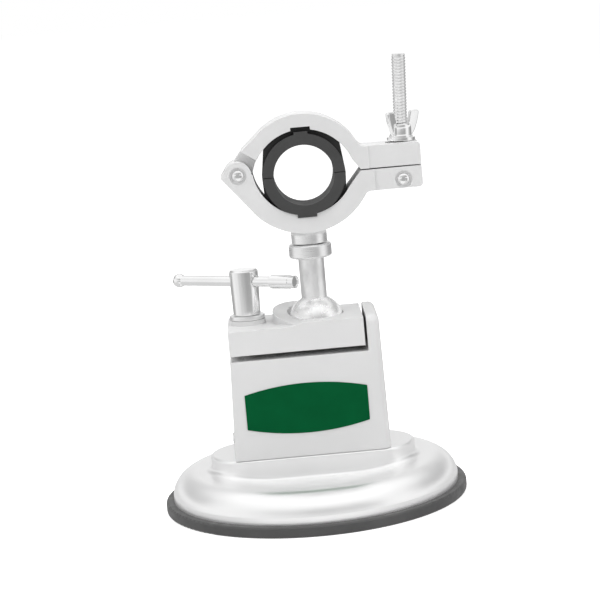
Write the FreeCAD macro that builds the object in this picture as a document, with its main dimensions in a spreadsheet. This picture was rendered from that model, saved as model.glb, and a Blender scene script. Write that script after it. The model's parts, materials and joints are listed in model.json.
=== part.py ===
# Suction base vise with a ball-mounted ring clamp.
# Frame: millimetres, +Z up, the operator stands at -Y, X to the right.
# Origin: centre of the rubber pad's underside, on the surface that the vise stands on.
import FreeCAD, Part
import math
import os
import re
import Sketcher

V = FreeCAD.Vector
ALONG_X = V(1, 0, 0)
ALONG_Y = V(0, 1, 0)
ALONG_Z = V(0, 0, 1)

doc = FreeCAD.newDocument("SuctionBaseVise")
sheet = doc.addObject("Spreadsheet::Sheet", "sizes")

# Driving sizes, in millimetres and degrees. A text that starts with = is worked out in the sheet.
SIZES = {
    # fits shared by the pieces
    "overrun": 1.0,
    "slip": 0.06,
    "thread_fit": 0.04,
    "seat_gap": 0.3,
    "guide_gap": 0.4,
    # rubber suction pad
    "pad_radius": 65.0,
    "pad_lip": 4.6,
    "pad_skin": 2.4,
    "pad_hollow": 3.2,
    "pad_seal": 12.0,
    "pad_edge": 1.1,
    "pad_step": 5.0,
    # domed base cover
    "cover_set_in": 3.5,
    "cover_radius": "=pad_radius - cover_set_in",
    "cover_band": 3.0,
    "cover_wall": 1.8,
    "shoulder_run": 11.5,
    "shoulder_rise": 8.6,
    "shoulder_bend": 10.4,
    "crest_radius": "=cover_radius - shoulder_run",
    "crest_height": "=pad_lip + cover_band + shoulder_rise",
    "channel_run": 24.0,
    "channel_drop": 3.1,
    "channel_radius": "=crest_radius - channel_run",
    "channel_height": "=crest_height - channel_drop",
    # vise body
    "body_height": 42.7,
    "body_bottom_half": 33.2,
    "left_taper": 1.6,
    "right_taper": 0.9,
    "body_left_top": "=body_bottom_half - left_taper",
    "body_right_top": "=body_bottom_half - right_taper",
    "body_half_depth": 18.8,
    "body_round": 3.4,
    "body_edge": 0.7,
    # raised seat of the cover
    "pedestal_rise": 6.6,
    "pedestal_top": "=crest_height + pedestal_rise",
    "pedestal_ledge": 0.4,
    "pedestal_half_depth": "=body_half_depth + pedestal_ledge",
    "pedestal_set_in": 6.0,
    "pedestal_half_length": "=crest_radius - pedestal_set_in",
    "pedestal_bow": 12.0,
    "pedestal_flat": "=pedestal_half_length - pedestal_bow",
    "pedestal_bend": "=(pedestal_bow^2 + pedestal_half_depth^2) / (2 * pedestal_bow)",
    "pedestal_corner": 12.0,
    "pedestal_wall": 3.0,
    "pedestal_roof": 3.5,
    "pedestal_round": 1.2,
    "foot_round": 2.6,
    "ledge_height": "=pedestal_top + body_height",
    # column behind the cap's right end
    "column_thickness": 5.5,
    "column_left": "=body_right_top - column_thickness",
    "column_height": 15.3,
    "column_top": "=ledge_height + column_height",
    "column_round": 2.8,
    # screws that hold the body down on the pedestal
    "base_screw_in": 7.7,
    "base_screw_x": "=body_bottom_half - base_screw_in",
    "base_screw_radius": 2.5,
    "base_screw_reach": 10.5,
    "base_head_radius": 4.4,
    "base_head_height": 2.8,
    # label on the front
    "label_half_width": 25.9,
    "label_centre_x": -0.9,
    "label_drop": 0.55,
    "label_half_height": 7.4,
    "label_corner_top": "=(pedestal_top + ledge_height) / 2 - label_drop + label_half_height",
    "label_corner_bottom": "=(pedestal_top + ledge_height) / 2 - label_drop - label_half_height",
    "label_sag": 3.3,
    "label_thickness": 0.3,
    "label_bend": "=(label_half_width^2 + label_sag^2) / (2 * label_sag)",
    # pull stud, its guide and the release spring
    "stud_radius": 4.5,
    "stud_plate_radius": 12.0,
    "stud_plate": 2.0,
    "stud_stroke": 3.0,
    "yoke_half_width": 8.0,
    "yoke_half_depth": 5.0,
    "yoke_lift": 4.7,
    "yoke_bottom": "=pedestal_top + yoke_lift",
    "yoke_height": 13.5,
    "yoke_top": "=yoke_bottom + yoke_height",
    "cavity_half_width": 12.0,
    "cavity_half_depth": 8.2,
    "cavity_room": 6.0,
    "cavity_top": "=yoke_top + cavity_room",
    "spring_wire": 1.4,
    "spring_radius": 8.0,
    "spring_turns": 5.0,
    # cam shaft and lever
    "shaft_rise": 11.2,
    "shaft_height": "=pedestal_top + shaft_rise",
    "shaft_radius": 5.5,
    "crank_radius": 3.0,
    "crank_throw": "=stud_stroke / 2",
    "clip_radius": 7.4,
    "clip_thickness": 1.0,
    "clip_groove": 0.8,
    "lever_gap": 2.4,
    "lever_thickness": 3.0,
    "lever_half_width": 4.2,
    "lever_boss_radius": 8.0,
    "lever_length": 36.2,
    "lever_angle": 19.5,
    "grip_length": 20.0,
    "grip_half_width": 5.2,
    "grip_thickness": 6.6,
    "lever_screw_radius": 2.0,
    "lever_screw_reach": 9.0,
    "lever_head_radius": 3.8,
    "lever_head_height": 2.2,
    # ball joint
    "hood_gap": 0.9,
    "ball_x": "=cap_right - hood_radius - hood_gap",
    "ball_lift": 11.1,
    "ball_height": "=ledge_height + ball_lift",
    "ball_radius": 12.0,
    "neck_radius": 5.45,
    "neck_length": 28.0,
    "neck_top": "=ball_height + neck_length",
    "stud_thread": 4.0,
    "cup_in": 3.2,
    "cup_radius": "=ball_radius - cup_in",
    "cup_depth": 5.5,
    "cup_bottom": "=ledge_height - cup_depth",
    "cup_rise": 1.1,
    "cup_top": "=ledge_height + cup_rise",
    # clamp cap over the ball
    "jaw_gap": 2.5,
    "cap_bottom": "=ledge_height + jaw_gap",
    "cap_thickness": 10.4,
    "cap_low_top": "=cap_bottom + cap_thickness",
    "cap_step": 1.6,
    "cap_high_top": "=cap_low_top + cap_step",
    "cap_set_in": 0.1,
    "cap_left": "=body_left_top - cap_set_in",
    "cap_gap": 1.1,
    "cap_right": "=column_left - cap_gap",
    "cap_step_back": 12.0,
    "cap_step_x": "=ball_x - cap_step_back",
    "cap_step_run": 6.4,
    "cap_half_depth": "=body_half_depth",
    "hood_wall": 6.4,
    "hood_radius": "=ball_radius + hood_wall",
    "hood_rise": 4.1,
    "hood_angle": 135.0,
    "bevel_drop": 0.6,
    "bevel_start": "=cap_high_top - bevel_drop",
    "bevel_width": 2.4,
    "bevel_lap": 0.6,
    # hinge of the cap
    "hinge_in": 2.8,
    "hinge_x": "=cap_right - hinge_in",
    "hinge_rise": 6.3,
    "hinge_height": "=ledge_height + hinge_rise",
    "hinge_radius": 1.6,
    "tongue_half": 5.0,
    "tongue_round": 2.5,
    "pin_cover": 3.0,
    # clamp screw with its sliding bar
    "screw_in": 8.7,
    "screw_x": "=screw_in - cap_left",
    "screw_radius": 4.0,
    "screw_depth": 26.0,
    "post_foot_radius": 5.8,
    "post_radius": 6.2,
    "post_edge": 0.7,
    "boss_radius": 7.6,
    "boss_height": 2.1,
    "washer_radius": 7.5,
    "washer_thickness": 1.8,
    "washer_lift": 0.12,
    "bar_clear": 12.65,
    "bar_height": "=cap_high_top + hood_rise + bar_clear",
    "post_crown": 5.25,
    "post_top": "=bar_height + post_crown",
    "bar_radius": 2.25,
    "bar_angle": -34.0,
    "bar_left": 34.0,
    "bar_right": 26.1,
    "bar_ball": 3.0,
    "bar_cap_radius": 3.0,
    "bar_cap_length": 11.9,
    "bar_nose_radius": 2.7,
    "bar_nose_length": 2.6,
    "bar_cap_socket": 8.0,
    # lock collar under the ring
    "collar_gap": 0.15,
    "collar_bottom": "=neck_top + collar_gap",
    "collar_height": 5.95,
    "collar_top": "=collar_bottom + collar_height",
    "collar_radius": 9.1,
    "collar_edge": 0.7,
    # ring clamp, round the tool's hole
    "hole_radius": 12.7,
    "bore_wall": 9.0,
    "lower_bore": "=hole_radius + bore_wall",
    "lower_bore_rise": 4.8,
    "lower_rim": 7.7,
    "lower_out": "=lower_bore + lower_rim",
    "lower_out_rise": 4.8,
    "bore_ease": 0.3,
    "upper_bore": "=lower_bore + bore_ease",
    "upper_bore_drop": 2.9,
    "upper_rim": 4.6,
    "upper_out": "=upper_bore + upper_rim",
    "upper_out_drop": 0.9,
    "ring_half_depth": 9.0,
    "boss_gap": 0.4,
    "ring_boss_radius": 7.6,
    "ring_boss_bottom": "=collar_top + boss_gap",
    "boss_show": 4.9,
    "split_height": "=ring_boss_bottom + boss_show + lower_out - lower_out_rise",
    "split_gap": 0.5,
    "stud_cover": 4.3,
    "stud_top": "=split_height + lower_bore_rise - lower_bore - stud_cover",
    "tip_out": 1.9,
    "ring_tip": "=upper_bore + tip_out",
    "tip_run_up": 5.0,
    "tip_run_down": 6.7,
    "key_half": 4.1,
    "key_depth": 1.0,
    "rim_across_share": 0.72,
    "rim_up_share": "=sqrt(1 - rim_across_share^2)",
    # swing bolt and the tabs that it closes
    "bolt_out": 12.1,
    "bolt_x": "=lower_out + bolt_out",
    "bolt_drop": 5.5,
    "lean_angle": 2.6,
    "bolt_radius": 3.0,
    "bolt_length": 52.2,
    "bolt_edge": 0.6,
    "eye_radius": 3.7,
    "eye_half": 3.15,
    "eye_side_share": 0.7,
    "slot_half": 3.4,
    "slot_back": 5.9,
    "slot_start": "=bolt_x - slot_back",
    "tab_over": 8.0,
    "tab_end": "=bolt_x + tab_over",
    "tab_half_depth": 8.3,
    "tab_up": 9.8,
    "tab_down": 9.2,
    "tab_round": 1.6,
    "tab_fillet": 3.0,
    "nut_clear": 0.4,
    "nut_seat": "=tab_up + bolt_drop + nut_clear",
    "flat_washer_radius": 6.0,
    "flat_washer": 1.5,
    "hub_radius": 4.9,
    "hub_top_radius": 4.2,
    "hub_height": 5.4,
    "wing_span": 10.2,
    "wing_height": 10.8,
    "wing_thickness": 2.1,
    "wing_foot_share": 0.1,
    "wing_low_share": 0.62,
    "wing_side_share": 0.88,
    "wing_round_share": 0.5,
    "wing_inner_share": 0.5,
    "wing_angle": 45.0,
    "wing_bend": 7.0,
    # hinge of the ring
    "knuckle_out": 6.0,
    "knuckle_x": "=-(lower_bore + knuckle_out)",
    "knuckle_rise": 1.9,
    "knuckle_radius": 5.8,
    "corner_out": 1.5,
    "corner_drop": 0.4,
    "corner_across_share": 0.825,
    "corner_up_share": 0.565,
    "knuckle_corner": "=knuckle_radius + corner_out - knuckle_x",
    "tongue_thickness": 6.0,
    "cheek_gap": 0.25,
    "face_run": 2.1,
    "face_rise": 10.1,
    "face_drop": 5.8,
    "shoulder_x": "=knuckle_x + face_run",
    "shoulder_up": "=knuckle_rise + face_rise",
    "shoulder_in_up": "=knuckle_rise + face_drop",
    # pivot screws and their nuts
    "pivot_radius": 2.0,
    "pivot_head": 2.8,
    "pivot_head_height": 1.5,
    "spot_radius": 3.7,
    "spot_depth": 0.9,
    "nut_flats": 7.0,
    "nut_height": 3.0,
    # two-piece insert
    "insert_fit": 0.12,
    "insert_over": 0.8,
    "insert_half_length": "=ring_half_depth + insert_over",
    "insert_face": 17.3,
    "insert_step_depth": 3.0,
    "insert_key_drop": 1.8,
    "insert_key_side": 1.1,
    "insert_split": 0.3,
    "insert_wall": 4.9,
    "insert_waist": "=hole_radius + insert_wall",
    "insert_corner_up": 12.0,
    "insert_corner_down": 8.2,
}

# How the dome rolls down from its crest into the channel, in shares of the way across and down.
ROLL_SHARES = [(0, 0), (0.25, 0.11), (0.5, 0.5), (0.75, 0.87), (1, 1)]

for row, (alias, amount) in enumerate(SIZES.items(), start=1):
    sheet.set("A%d" % row, alias)
    sheet.set("B%d" % row, str(amount))
    sheet.setAlias("B%d" % row, alias)
doc.recompute()


def ref(text):
    """Write a sum of size names the way an expression names the cells of the sheet."""
    return re.sub(r"[a-z_]+", lambda word: "sizes." * (word.group() in SIZES) + word.group(), text)


def size(text):
    """Value of a size, or of a sum of sizes."""
    return float(sheet.evalExpression(ref(text)))


def bind(thing, **sums):
    """Tie properties of an object to the sheet."""
    for prop, text in sums.items():
        if prop in ("x", "y", "z"):
            prop = "Placement.Base." + prop
        thing.setExpression(prop, ref(text))
    return thing


def draw(sketch, points):
    """Closed outline. A point is (across, up), or (across, up, radius, turn) where an arc starts."""
    spots = [(size(point[0]), size(point[1])) for point in points]
    count = len(points)
    ends = []
    for i, point in enumerate(points):
        a = V(spots[i][0], spots[i][1], 0)
        b = V(spots[(i + 1) % count][0], spots[(i + 1) % count][1], 0)
        if len(point) == 2:
            sketch.addGeometry(Part.LineSegment(a, b), False)
            ends.append((1, 2))
            continue
        radius, turn = size(point[2]), point[3]
        chord = b - a
        left = V(-chord.y, chord.x, 0).normalize()
        centre = (a + b) / 2 + left * (turn * math.sqrt(radius ** 2 - (chord.Length / 2) ** 2))
        first, last = (a, b) if turn > 0 else (b, a)
        start = math.atan2(first.y - centre.y, first.x - centre.x)
        end = math.atan2(last.y - centre.y, last.x - centre.x)
        sketch.addGeometry(Part.ArcOfCircle(Part.Circle(centre, ALONG_Z, radius), start, end), False)
        ends.append((1, 2) if turn > 0 else (2, 1))
    for i in range(count):
        follow = (i + 1) % count
        sketch.addConstraint(Sketcher.Constraint("Coincident", i, ends[i][1], follow, ends[follow][0]))
    for i, point in enumerate(points):
        for kind, text, spot in (("DistanceX", point[0], spots[i][0]), ("DistanceY", point[1], spots[i][1])):
            number = sketch.addConstraint(Sketcher.Constraint(kind, -1, 1, i, ends[i][0], spot))
            if text != "0":
                sketch.setExpression("Constraints[%d]" % number, ref(text))
        if len(point) == 4:
            number = sketch.addConstraint(Sketcher.Constraint("Radius", i, size(point[2])))
            sketch.setExpression("Constraints[%d]" % number, ref(point[2]))


def sketched(name, plane, points):
    """A body with one outline on one of its own planes."""
    body = doc.addObject("PartDesign::Body", name)
    planes = {item.Role: item for item in body.Origin.OriginFeatures}
    sketch = body.newObject("Sketcher::SketchObject", name + "_outline")
    sketch.AttachmentSupport = [(planes[plane], "")]
    sketch.MapMode = "FlatFace"
    draw(sketch, points)
    return body, sketch


def turned(name, points):
    """Solid of revolution about Z. The points are (radius, height)."""
    body, sketch = sketched(name, "XZ_Plane", points)
    turn = body.newObject("PartDesign::Revolution", name + "_turn")
    turn.Profile = sketch
    turn.ReferenceAxis = (sketch, ["V_Axis"])
    turn.Angle = 360
    return body


def plate(name, points, depth):
    """Outline seen from the front, padded to both sides of the middle plane."""
    body, sketch = sketched(name, "XZ_Plane", points)
    pad = body.newObject("PartDesign::Pad", name + "_pad")
    pad.Profile = sketch
    pad.Midplane = True
    bind(pad, Length=depth)
    return body


def slab(name, points, height):
    """Outline seen from above, padded upwards."""
    body, sketch = sketched(name, "XY_Plane", points)
    pad = body.newObject("PartDesign::Pad", name + "_pad")
    pad.Profile = sketch
    bind(pad, Length=height)
    return body


def box(name, length, width, height, x, y, z):
    return bind(doc.addObject("Part::Box", name), Length=length, Width=width, Height=height, x=x, y=y, z=z)


def cylinder(name, radius, height, x="0", y="0", z="0", along=ALONG_Z):
    thing = doc.addObject("Part::Cylinder", name)
    thing.Placement.Rotation = FreeCAD.Rotation(ALONG_Z, along)
    return bind(thing, Radius=radius, Height=height, x=x, y=y, z=z)


def cone(name, start, end, height, x="0", y="0", z="0", along=ALONG_Z):
    thing = doc.addObject("Part::Cone", name)
    thing.Placement.Rotation = FreeCAD.Rotation(ALONG_Z, along)
    return bind(thing, Radius1=start, Radius2=end, Height=height, x=x, y=y, z=z)


def ball(name, radius, x="0", y="0", z="0", along=ALONG_Z):
    thing = doc.addObject("Part::Sphere", name)
    thing.Placement.Rotation = FreeCAD.Rotation(ALONG_Z, along)
    return bind(thing, Radius=radius, x=x, y=y, z=z)


def join(name, *pieces):
    thing = doc.addObject("Part::MultiFuse", name)
    thing.Shapes = list(pieces)
    return thing


def cut(name, base, *tools):
    thing = doc.addObject("Part::Cut", name)
    thing.Base = base
    thing.Tool = tools[0] if len(tools) == 1 else join(name + "_tools", *tools)
    return thing


def turn_about(thing, axis, angle, x="0", y="0", z="0"):
    """Set a piece that was made at the origin on its pivot, turned about it."""
    thing.Placement.Rotation = FreeCAD.Rotation(axis, size(angle))
    bind(thing, x=x, y=y, z=z)
    thing.setExpression("Placement.Rotation.Angle", ref(angle))
    return thing


def rounded(name, source, radius, chosen):
    """Copy of a shape with the chosen edges rounded."""
    doc.recompute()
    shape = source.Shape
    edges = [edge for edge in shape.Edges if chosen(edge)]
    thing = doc.addObject("Part::Feature", name)
    thing.Shape = shape.makeFillet(size(radius), edges)
    return thing


def near(value, text):
    return abs(value - size(text)) < size("slip")


parts = {}


def suction_pad():
    """Rubber disc, thick at its lip, drawn up in the middle as when it holds."""
    return turned("suction_pad", [
        ("0", "pad_hollow"),
        ("pad_radius - pad_seal", "0"),
        ("pad_radius - pad_edge", "0", "pad_edge", 1),
        ("pad_radius", "pad_edge"),
        ("pad_radius", "pad_lip - pad_edge", "pad_edge", 1),
        ("pad_radius - pad_edge", "pad_lip"),
        ("pad_radius - pad_seal + pad_step", "pad_lip"),
        ("pad_radius - pad_seal", "pad_skin"),
        ("stud_plate_radius", "pad_hollow + pad_skin"),
        ("0", "pad_hollow + pad_skin"),
    ])


def dome(name, inset, floor):
    """Solid under the dome, drawn in by the wall where it is the hollow."""
    rim = size("cover_radius - " + inset)
    band = size("pad_lip + cover_band")
    crest = V(size("crest_radius"), 0, size("crest_height - " + inset))
    channel = V(size("channel_radius"), 0, size("channel_height - " + inset))
    bend = size("shoulder_bend - " + inset)
    corners = [V(0, 0, size(floor)), V(rim, 0, size(floor)), V(rim, 0, band)]
    chord = crest - corners[2]
    away = V(chord.z, 0, -chord.x).normalize()
    bulge = bend - math.sqrt(bend ** 2 - chord.Length ** 2 / 4)
    shoulder = Part.Arc(corners[2], (corners[2] + crest) / 2 + away * bulge, crest)
    roll = Part.BSplineCurve()
    reach = channel - crest
    rolled = [crest + V(reach.x * across, 0, reach.z * down) for across, down in ROLL_SHARES]
    roll.interpolate(rolled, InitialTangent=-ALONG_X, FinalTangent=-ALONG_X)
    middle = V(0, 0, channel.z)
    edges = [Part.LineSegment(corners[0], corners[1]), Part.LineSegment(corners[1], corners[2]),
             shoulder, roll, Part.LineSegment(channel, middle), Part.LineSegment(middle, corners[0])]
    face = Part.Face(Part.Wire([edge.toShape() for edge in edges]))
    thing = doc.addObject("Part::Feature", name)
    thing.Shape = face.revolve(V(0, 0, 0), ALONG_Z, 360)
    return thing


def pedestal(name, inset, height, bottom):
    """Raised seat with flat sides and bowed ends."""
    flat = "pedestal_flat"
    side = "pedestal_half_depth - " + inset
    bend = "pedestal_bend"
    body = slab(name, [
        ("-" + flat, "-(" + side + ")"),
        (flat, "-(" + side + ")", bend, 1),
        (flat, side),
        ("-" + flat, side, bend, 1),
    ], height)
    return bind(body, z=bottom)


def base_cover():
    outer = dome("cover_outer", "0", "pad_lip")
    raised = pedestal("cover_raised", "0", "pedestal_top - crest_height / 2", "crest_height / 2")

    def corner_edge(edge):
        return edge.BoundBox.ZLength > size("pedestal_rise")

    eased = rounded("cover_eased", raised, "pedestal_corner", corner_edge)
    blank = join("cover_blank", outer, eased)

    def top_edge(edge):
        box = edge.BoundBox
        return near(box.ZMin, "pedestal_top") and near(box.ZMax, "pedestal_top")

    def foot_edge(edge):
        box = edge.BoundBox
        spot = edge.valueAt((edge.FirstParameter + edge.LastParameter) / 2)
        level = box.ZMin > size("channel_height - slip") and box.ZMax < size("pedestal_top - pedestal_round")
        within_depth = abs(spot.y) < size("pedestal_half_depth + slip")
        within_length = abs(spot.x) < size("pedestal_half_length + slip")
        return level and within_depth and within_length and box.ZLength < size("foot_round")

    footed = rounded("cover_footed", blank, "foot_round", foot_edge)
    smooth = rounded("cover_smooth", footed, "pedestal_round", top_edge)
    hollow = dome("cover_hollow", "cover_wall", "pad_lip - overrun")
    room = pedestal("cover_room", "pedestal_wall",
                    "pedestal_top - pedestal_roof - pad_lip", "pad_lip")
    window = cylinder("cover_stud_hole", "stud_radius + guide_gap / 2", "pedestal_top", z="pad_lip")
    tools = [hollow, room, window]
    for side, sign in (("left", "-"), ("right", "")):
        tools.append(cylinder("cover_screw_hole_" + side, "base_screw_radius + guide_gap / 2",
                              "pedestal_top", x=sign + "base_screw_x", z="pad_lip"))
    return cut("base_cover", smooth, *tools)


def base_screws():
    """Two pan-head screws, driven up through the pedestal into the body."""
    seat = "pedestal_top - pedestal_roof"
    pieces = []
    for side, sign in (("left", "-"), ("right", "")):
        x = sign + "base_screw_x"
        head = cylinder("base_head_" + side, "base_head_radius", "base_head_height",
                        x=x, z=seat + " - base_head_height")
        shank = cylinder("base_shank_" + side, "base_screw_radius", "pedestal_roof + base_screw_reach",
                         x=x, z=seat)
        drive = cylinder("base_drive_" + side, "base_screw_radius / 2", "base_head_height / 2",
                         x=x, z=seat + " - base_head_height")
        pieces.append(cut("base_screw_" + side, join("base_solid_" + side, head, shank), drive))
    return join("base_screws", *pieces)


def vise_body():
    """Tapered column with a cut-out at its top left for the cap, and the cap's hinge tongue."""
    blank = plate("body_blank", [
        ("-body_bottom_half", "pedestal_top"),
        ("body_bottom_half", "pedestal_top"),
        ("body_right_top", "column_top - column_round", "column_round", 1),
        ("body_right_top - column_round", "column_top"),
        ("column_left", "column_top"),
        ("column_left", "ledge_height"),
        ("-body_left_top", "ledge_height"),
    ], "2 * body_half_depth")

    def right_edge(edge):
        box = edge.BoundBox
        upright = box.ZLength > size("column_top - pedestal_top - 2 * column_round")
        return upright and box.XMin > size("column_left + body_edge")

    def left_edge(edge):
        box = edge.BoundBox
        upright = box.ZLength > size("(ledge_height - pedestal_top) / 2")
        return upright and box.XMax < -size("body_left_top") + size("slip")

    bulged = rounded("body_bulged", blank, "body_round", right_edge)
    eased = rounded("body_eased", bulged, "body_edge", left_edge)
    web = box("tongue_web", "2 * tongue_round", "2 * tongue_half", "hinge_height - ledge_height + overrun",
              "hinge_x - tongue_round", "-tongue_half", "ledge_height - overrun")
    knob = cylinder("tongue_knob", "tongue_round", "2 * tongue_half",
                    x="hinge_x", y="tongue_half", z="hinge_height", along=-ALONG_Y)
    solid = join("body_solid", eased, web, knob)
    cavity = box("body_cavity", "2 * cavity_half_width", "2 * cavity_half_depth",
                 "cavity_top - pedestal_top + overrun",
                 "-cavity_half_width", "-cavity_half_depth", "pedestal_top - overrun")
    journal = cylinder("body_journal", "shaft_radius + slip", "body_half_depth + overrun",
                       z="shaft_height", along=ALONG_Y)
    cup = cylinder("body_cup", "cup_radius + slip", "ledge_height - cup_bottom + overrun",
                   x="ball_x", z="cup_bottom")
    thread = cylinder("body_thread", "screw_radius + thread_fit", "screw_depth + overrun",
                      x="screw_x", z="ledge_height - screw_depth")
    pin = cylinder("body_pin_hole", "hinge_radius", "2 * (tongue_half + overrun)",
                   x="hinge_x", y="tongue_half + overrun", z="hinge_height", along=-ALONG_Y)
    tools = [cavity, journal, cup, thread, pin]
    for side, sign in (("left", "-"), ("right", "")):
        tools.append(cylinder("body_tapped_" + side, "base_screw_radius", "base_screw_reach + 2 * overrun",
                              x=sign + "base_screw_x", z="pedestal_top - overrun"))
    return cut("vise_body", solid, *tools)


def label_plate():
    """Barrel-shaped plate stuck on the front of the body, left bare."""
    left = "label_centre_x - label_half_width"
    right = "label_centre_x + label_half_width"
    body = plate("label_plate", [
        (left, "label_corner_bottom", "label_bend", 1),
        (right, "label_corner_bottom"),
        (right, "label_corner_top", "label_bend", 1),
        (left, "label_corner_top"),
    ], "label_thickness")
    return bind(body, y="-body_half_depth - label_thickness / 2")


def pull_stud():
    """Stud bonded to the pad, with a slotted yoke that the crank lifts."""
    foot = "pad_hollow + pad_skin"
    disc = cylinder("stud_disc", "stud_plate_radius", "stud_plate", z=foot)
    shank = cylinder("stud_shank", "stud_radius", "yoke_bottom - pad_hollow - pad_skin + overrun", z=foot)
    yoke = box("stud_yoke", "2 * yoke_half_width", "2 * yoke_half_depth", "yoke_top - yoke_bottom",
               "-yoke_half_width", "-yoke_half_depth", "yoke_bottom")
    reach = "crank_throw + crank_radius + guide_gap"
    slot = box("stud_slot", "2 * (" + reach + ")", "2 * (yoke_half_depth + overrun)",
               "2 * (crank_radius + guide_gap)",
               "-(" + reach + ")", "-(yoke_half_depth + overrun)",
               "shaft_height + crank_throw - crank_radius - guide_gap")
    return cut("pull_stud", join("stud_solid", disc, shank, yoke), slot)


def release_spring():
    """Coil spring of square wire between the stud's plate and the pedestal's roof."""
    wire = size("spring_wire")
    radius = size("spring_radius")
    bottom = size("pad_hollow + pad_skin + stud_plate") + wire / 2 + size("slip")
    top = size("pedestal_top - pedestal_roof") - wire / 2 - size("slip")
    turns = int(size("spring_turns"))
    path = Part.makeHelix((top - bottom) / turns, top - bottom, radius)
    path.translate(V(0, 0, bottom))
    near_side, far_side = radius - wire / 2, radius + wire / 2
    low, high = bottom - wire / 2, bottom + wire / 2
    corners = [V(near_side, 0, low), V(far_side, 0, low), V(far_side, 0, high), V(near_side, 0, high)]
    thing = doc.addObject("Part::Feature", "release_spring")
    thing.Shape = Part.Wire(path).makePipeShell([Part.makePolygon(corners + corners[:1])], True, True)
    return thing


def cam_shaft():
    """Shaft in the back wall with a crank pin at its inner end."""
    start = "cavity_half_depth - clip_thickness - clip_groove"
    tail = "body_half_depth + lever_gap + lever_thickness"
    shaft = cylinder("shaft_body", "shaft_radius", tail + " - (" + start + ")", y=start,
                     z="shaft_height", along=ALONG_Y)
    crank = cylinder("shaft_crank", "crank_radius", start + " + yoke_half_depth + overrun",
                     y="-yoke_half_depth - overrun", z="shaft_height + crank_throw", along=ALONG_Y)
    groove = cut("shaft_groove",
                 cylinder("shaft_groove_out", "shaft_radius + overrun", "clip_thickness",
                          y="cavity_half_depth - clip_thickness", z="shaft_height", along=ALONG_Y),
                 cylinder("shaft_groove_in", "shaft_radius - clip_groove", "clip_thickness",
                          y="cavity_half_depth - clip_thickness", z="shaft_height", along=ALONG_Y))
    tapped = cylinder("shaft_tapped", "lever_screw_radius", "lever_screw_reach + overrun",
                      y=tail + " - lever_screw_reach", z="shaft_height", along=ALONG_Y)
    return cut("cam_shaft", join("shaft_solid", shaft, crank), groove, tapped)


def shaft_clip():
    """Open ring in the shaft's groove, inside the body."""
    where = {"y": "cavity_half_depth - clip_thickness", "z": "shaft_height", "along": ALONG_Y}
    disc = cylinder("clip_disc", "clip_radius", "clip_thickness", **where)
    bore = cylinder("clip_bore", "shaft_radius - clip_groove", "clip_thickness", **where)
    opening = "shaft_radius - 2 * clip_groove"
    mouth = box("clip_mouth", "2 * (" + opening + ")", "clip_thickness", "clip_radius + overrun",
                "-(" + opening + ")", "cavity_half_depth - clip_thickness",
                "shaft_height - clip_radius - overrun")
    return cut("shaft_clip", disc, bore, mouth)


def lever_arm():
    """Flat arm on the shaft's outer end, drooping to the left behind the body."""
    boss = cylinder("lever_boss", "lever_boss_radius", "lever_thickness", along=ALONG_Y)
    bar = box("lever_bar", "lever_length - overrun", "lever_thickness", "2 * lever_half_width",
              "-(lever_length - overrun)", "0", "-lever_half_width")
    bore = cylinder("lever_bore", "shaft_radius", "lever_thickness", along=ALONG_Y)
    arm = cut("lever_arm", join("lever_solid", boss, bar), bore)
    return turn_about(arm, -ALONG_Y, "lever_angle", y="body_half_depth + lever_gap", z="shaft_height")


def lever_grip():
    """Moulded grip over the arm's end."""
    start = "-(lever_length - grip_half_width)"
    middle = "lever_thickness / 2"
    bar = box("grip_bar", "grip_length - grip_half_width", "grip_thickness", "2 * grip_half_width",
              start, middle + " - grip_thickness / 2", "-grip_half_width")
    tip = cylinder("grip_tip", "grip_half_width", "grip_thickness",
                   x=start, y=middle + " - grip_thickness / 2", along=ALONG_Y)
    sleeve = box("grip_sleeve", "lever_length - overrun", "lever_thickness", "2 * lever_half_width",
                 "-(lever_length - overrun)", "0", "-lever_half_width")
    grip = cut("lever_grip", join("grip_solid", bar, tip), sleeve)
    return turn_about(grip, -ALONG_Y, "lever_angle", y="body_half_depth + lever_gap", z="shaft_height")


def lever_screw():
    """Pan-head screw that holds the arm on the shaft."""
    face = "body_half_depth + lever_gap + lever_thickness"
    head = cylinder("lever_head", "lever_head_radius", "lever_head_height", y=face,
                    z="shaft_height", along=ALONG_Y)
    shank = cylinder("lever_shank", "lever_screw_radius", "lever_screw_reach",
                     y=face + " - lever_screw_reach", z="shaft_height", along=ALONG_Y)
    drive = cylinder("lever_drive", "lever_screw_radius / 2", "lever_head_height / 2",
                     y=face + " + lever_head_height / 2", z="shaft_height", along=ALONG_Y)
    return cut("lever_screw", join("lever_screw_solid", head, shank), drive)


def ball_seat():
    """Cup under the ball, free to turn in the body."""
    disc = cylinder("seat_disc", "cup_radius", "cup_top - cup_bottom - slip",
                    x="ball_x", z="cup_bottom + slip")
    hollow = ball("seat_hollow", "ball_radius + slip", x="ball_x", z="ball_height")
    return cut("ball_seat", disc, hollow)


def ball_stud():
    """Ball, neck and threaded end in one piece."""
    sphere = ball("stud_ball", "ball_radius", x="ball_x", z="ball_height")
    neck = cylinder("stud_neck", "neck_radius", "neck_top - ball_height", x="ball_x", z="ball_height")
    thread = cylinder("stud_end", "stud_thread", "stud_top - ball_height", x="ball_x", z="ball_height")
    return join("ball_stud", sphere, neck, thread)


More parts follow.
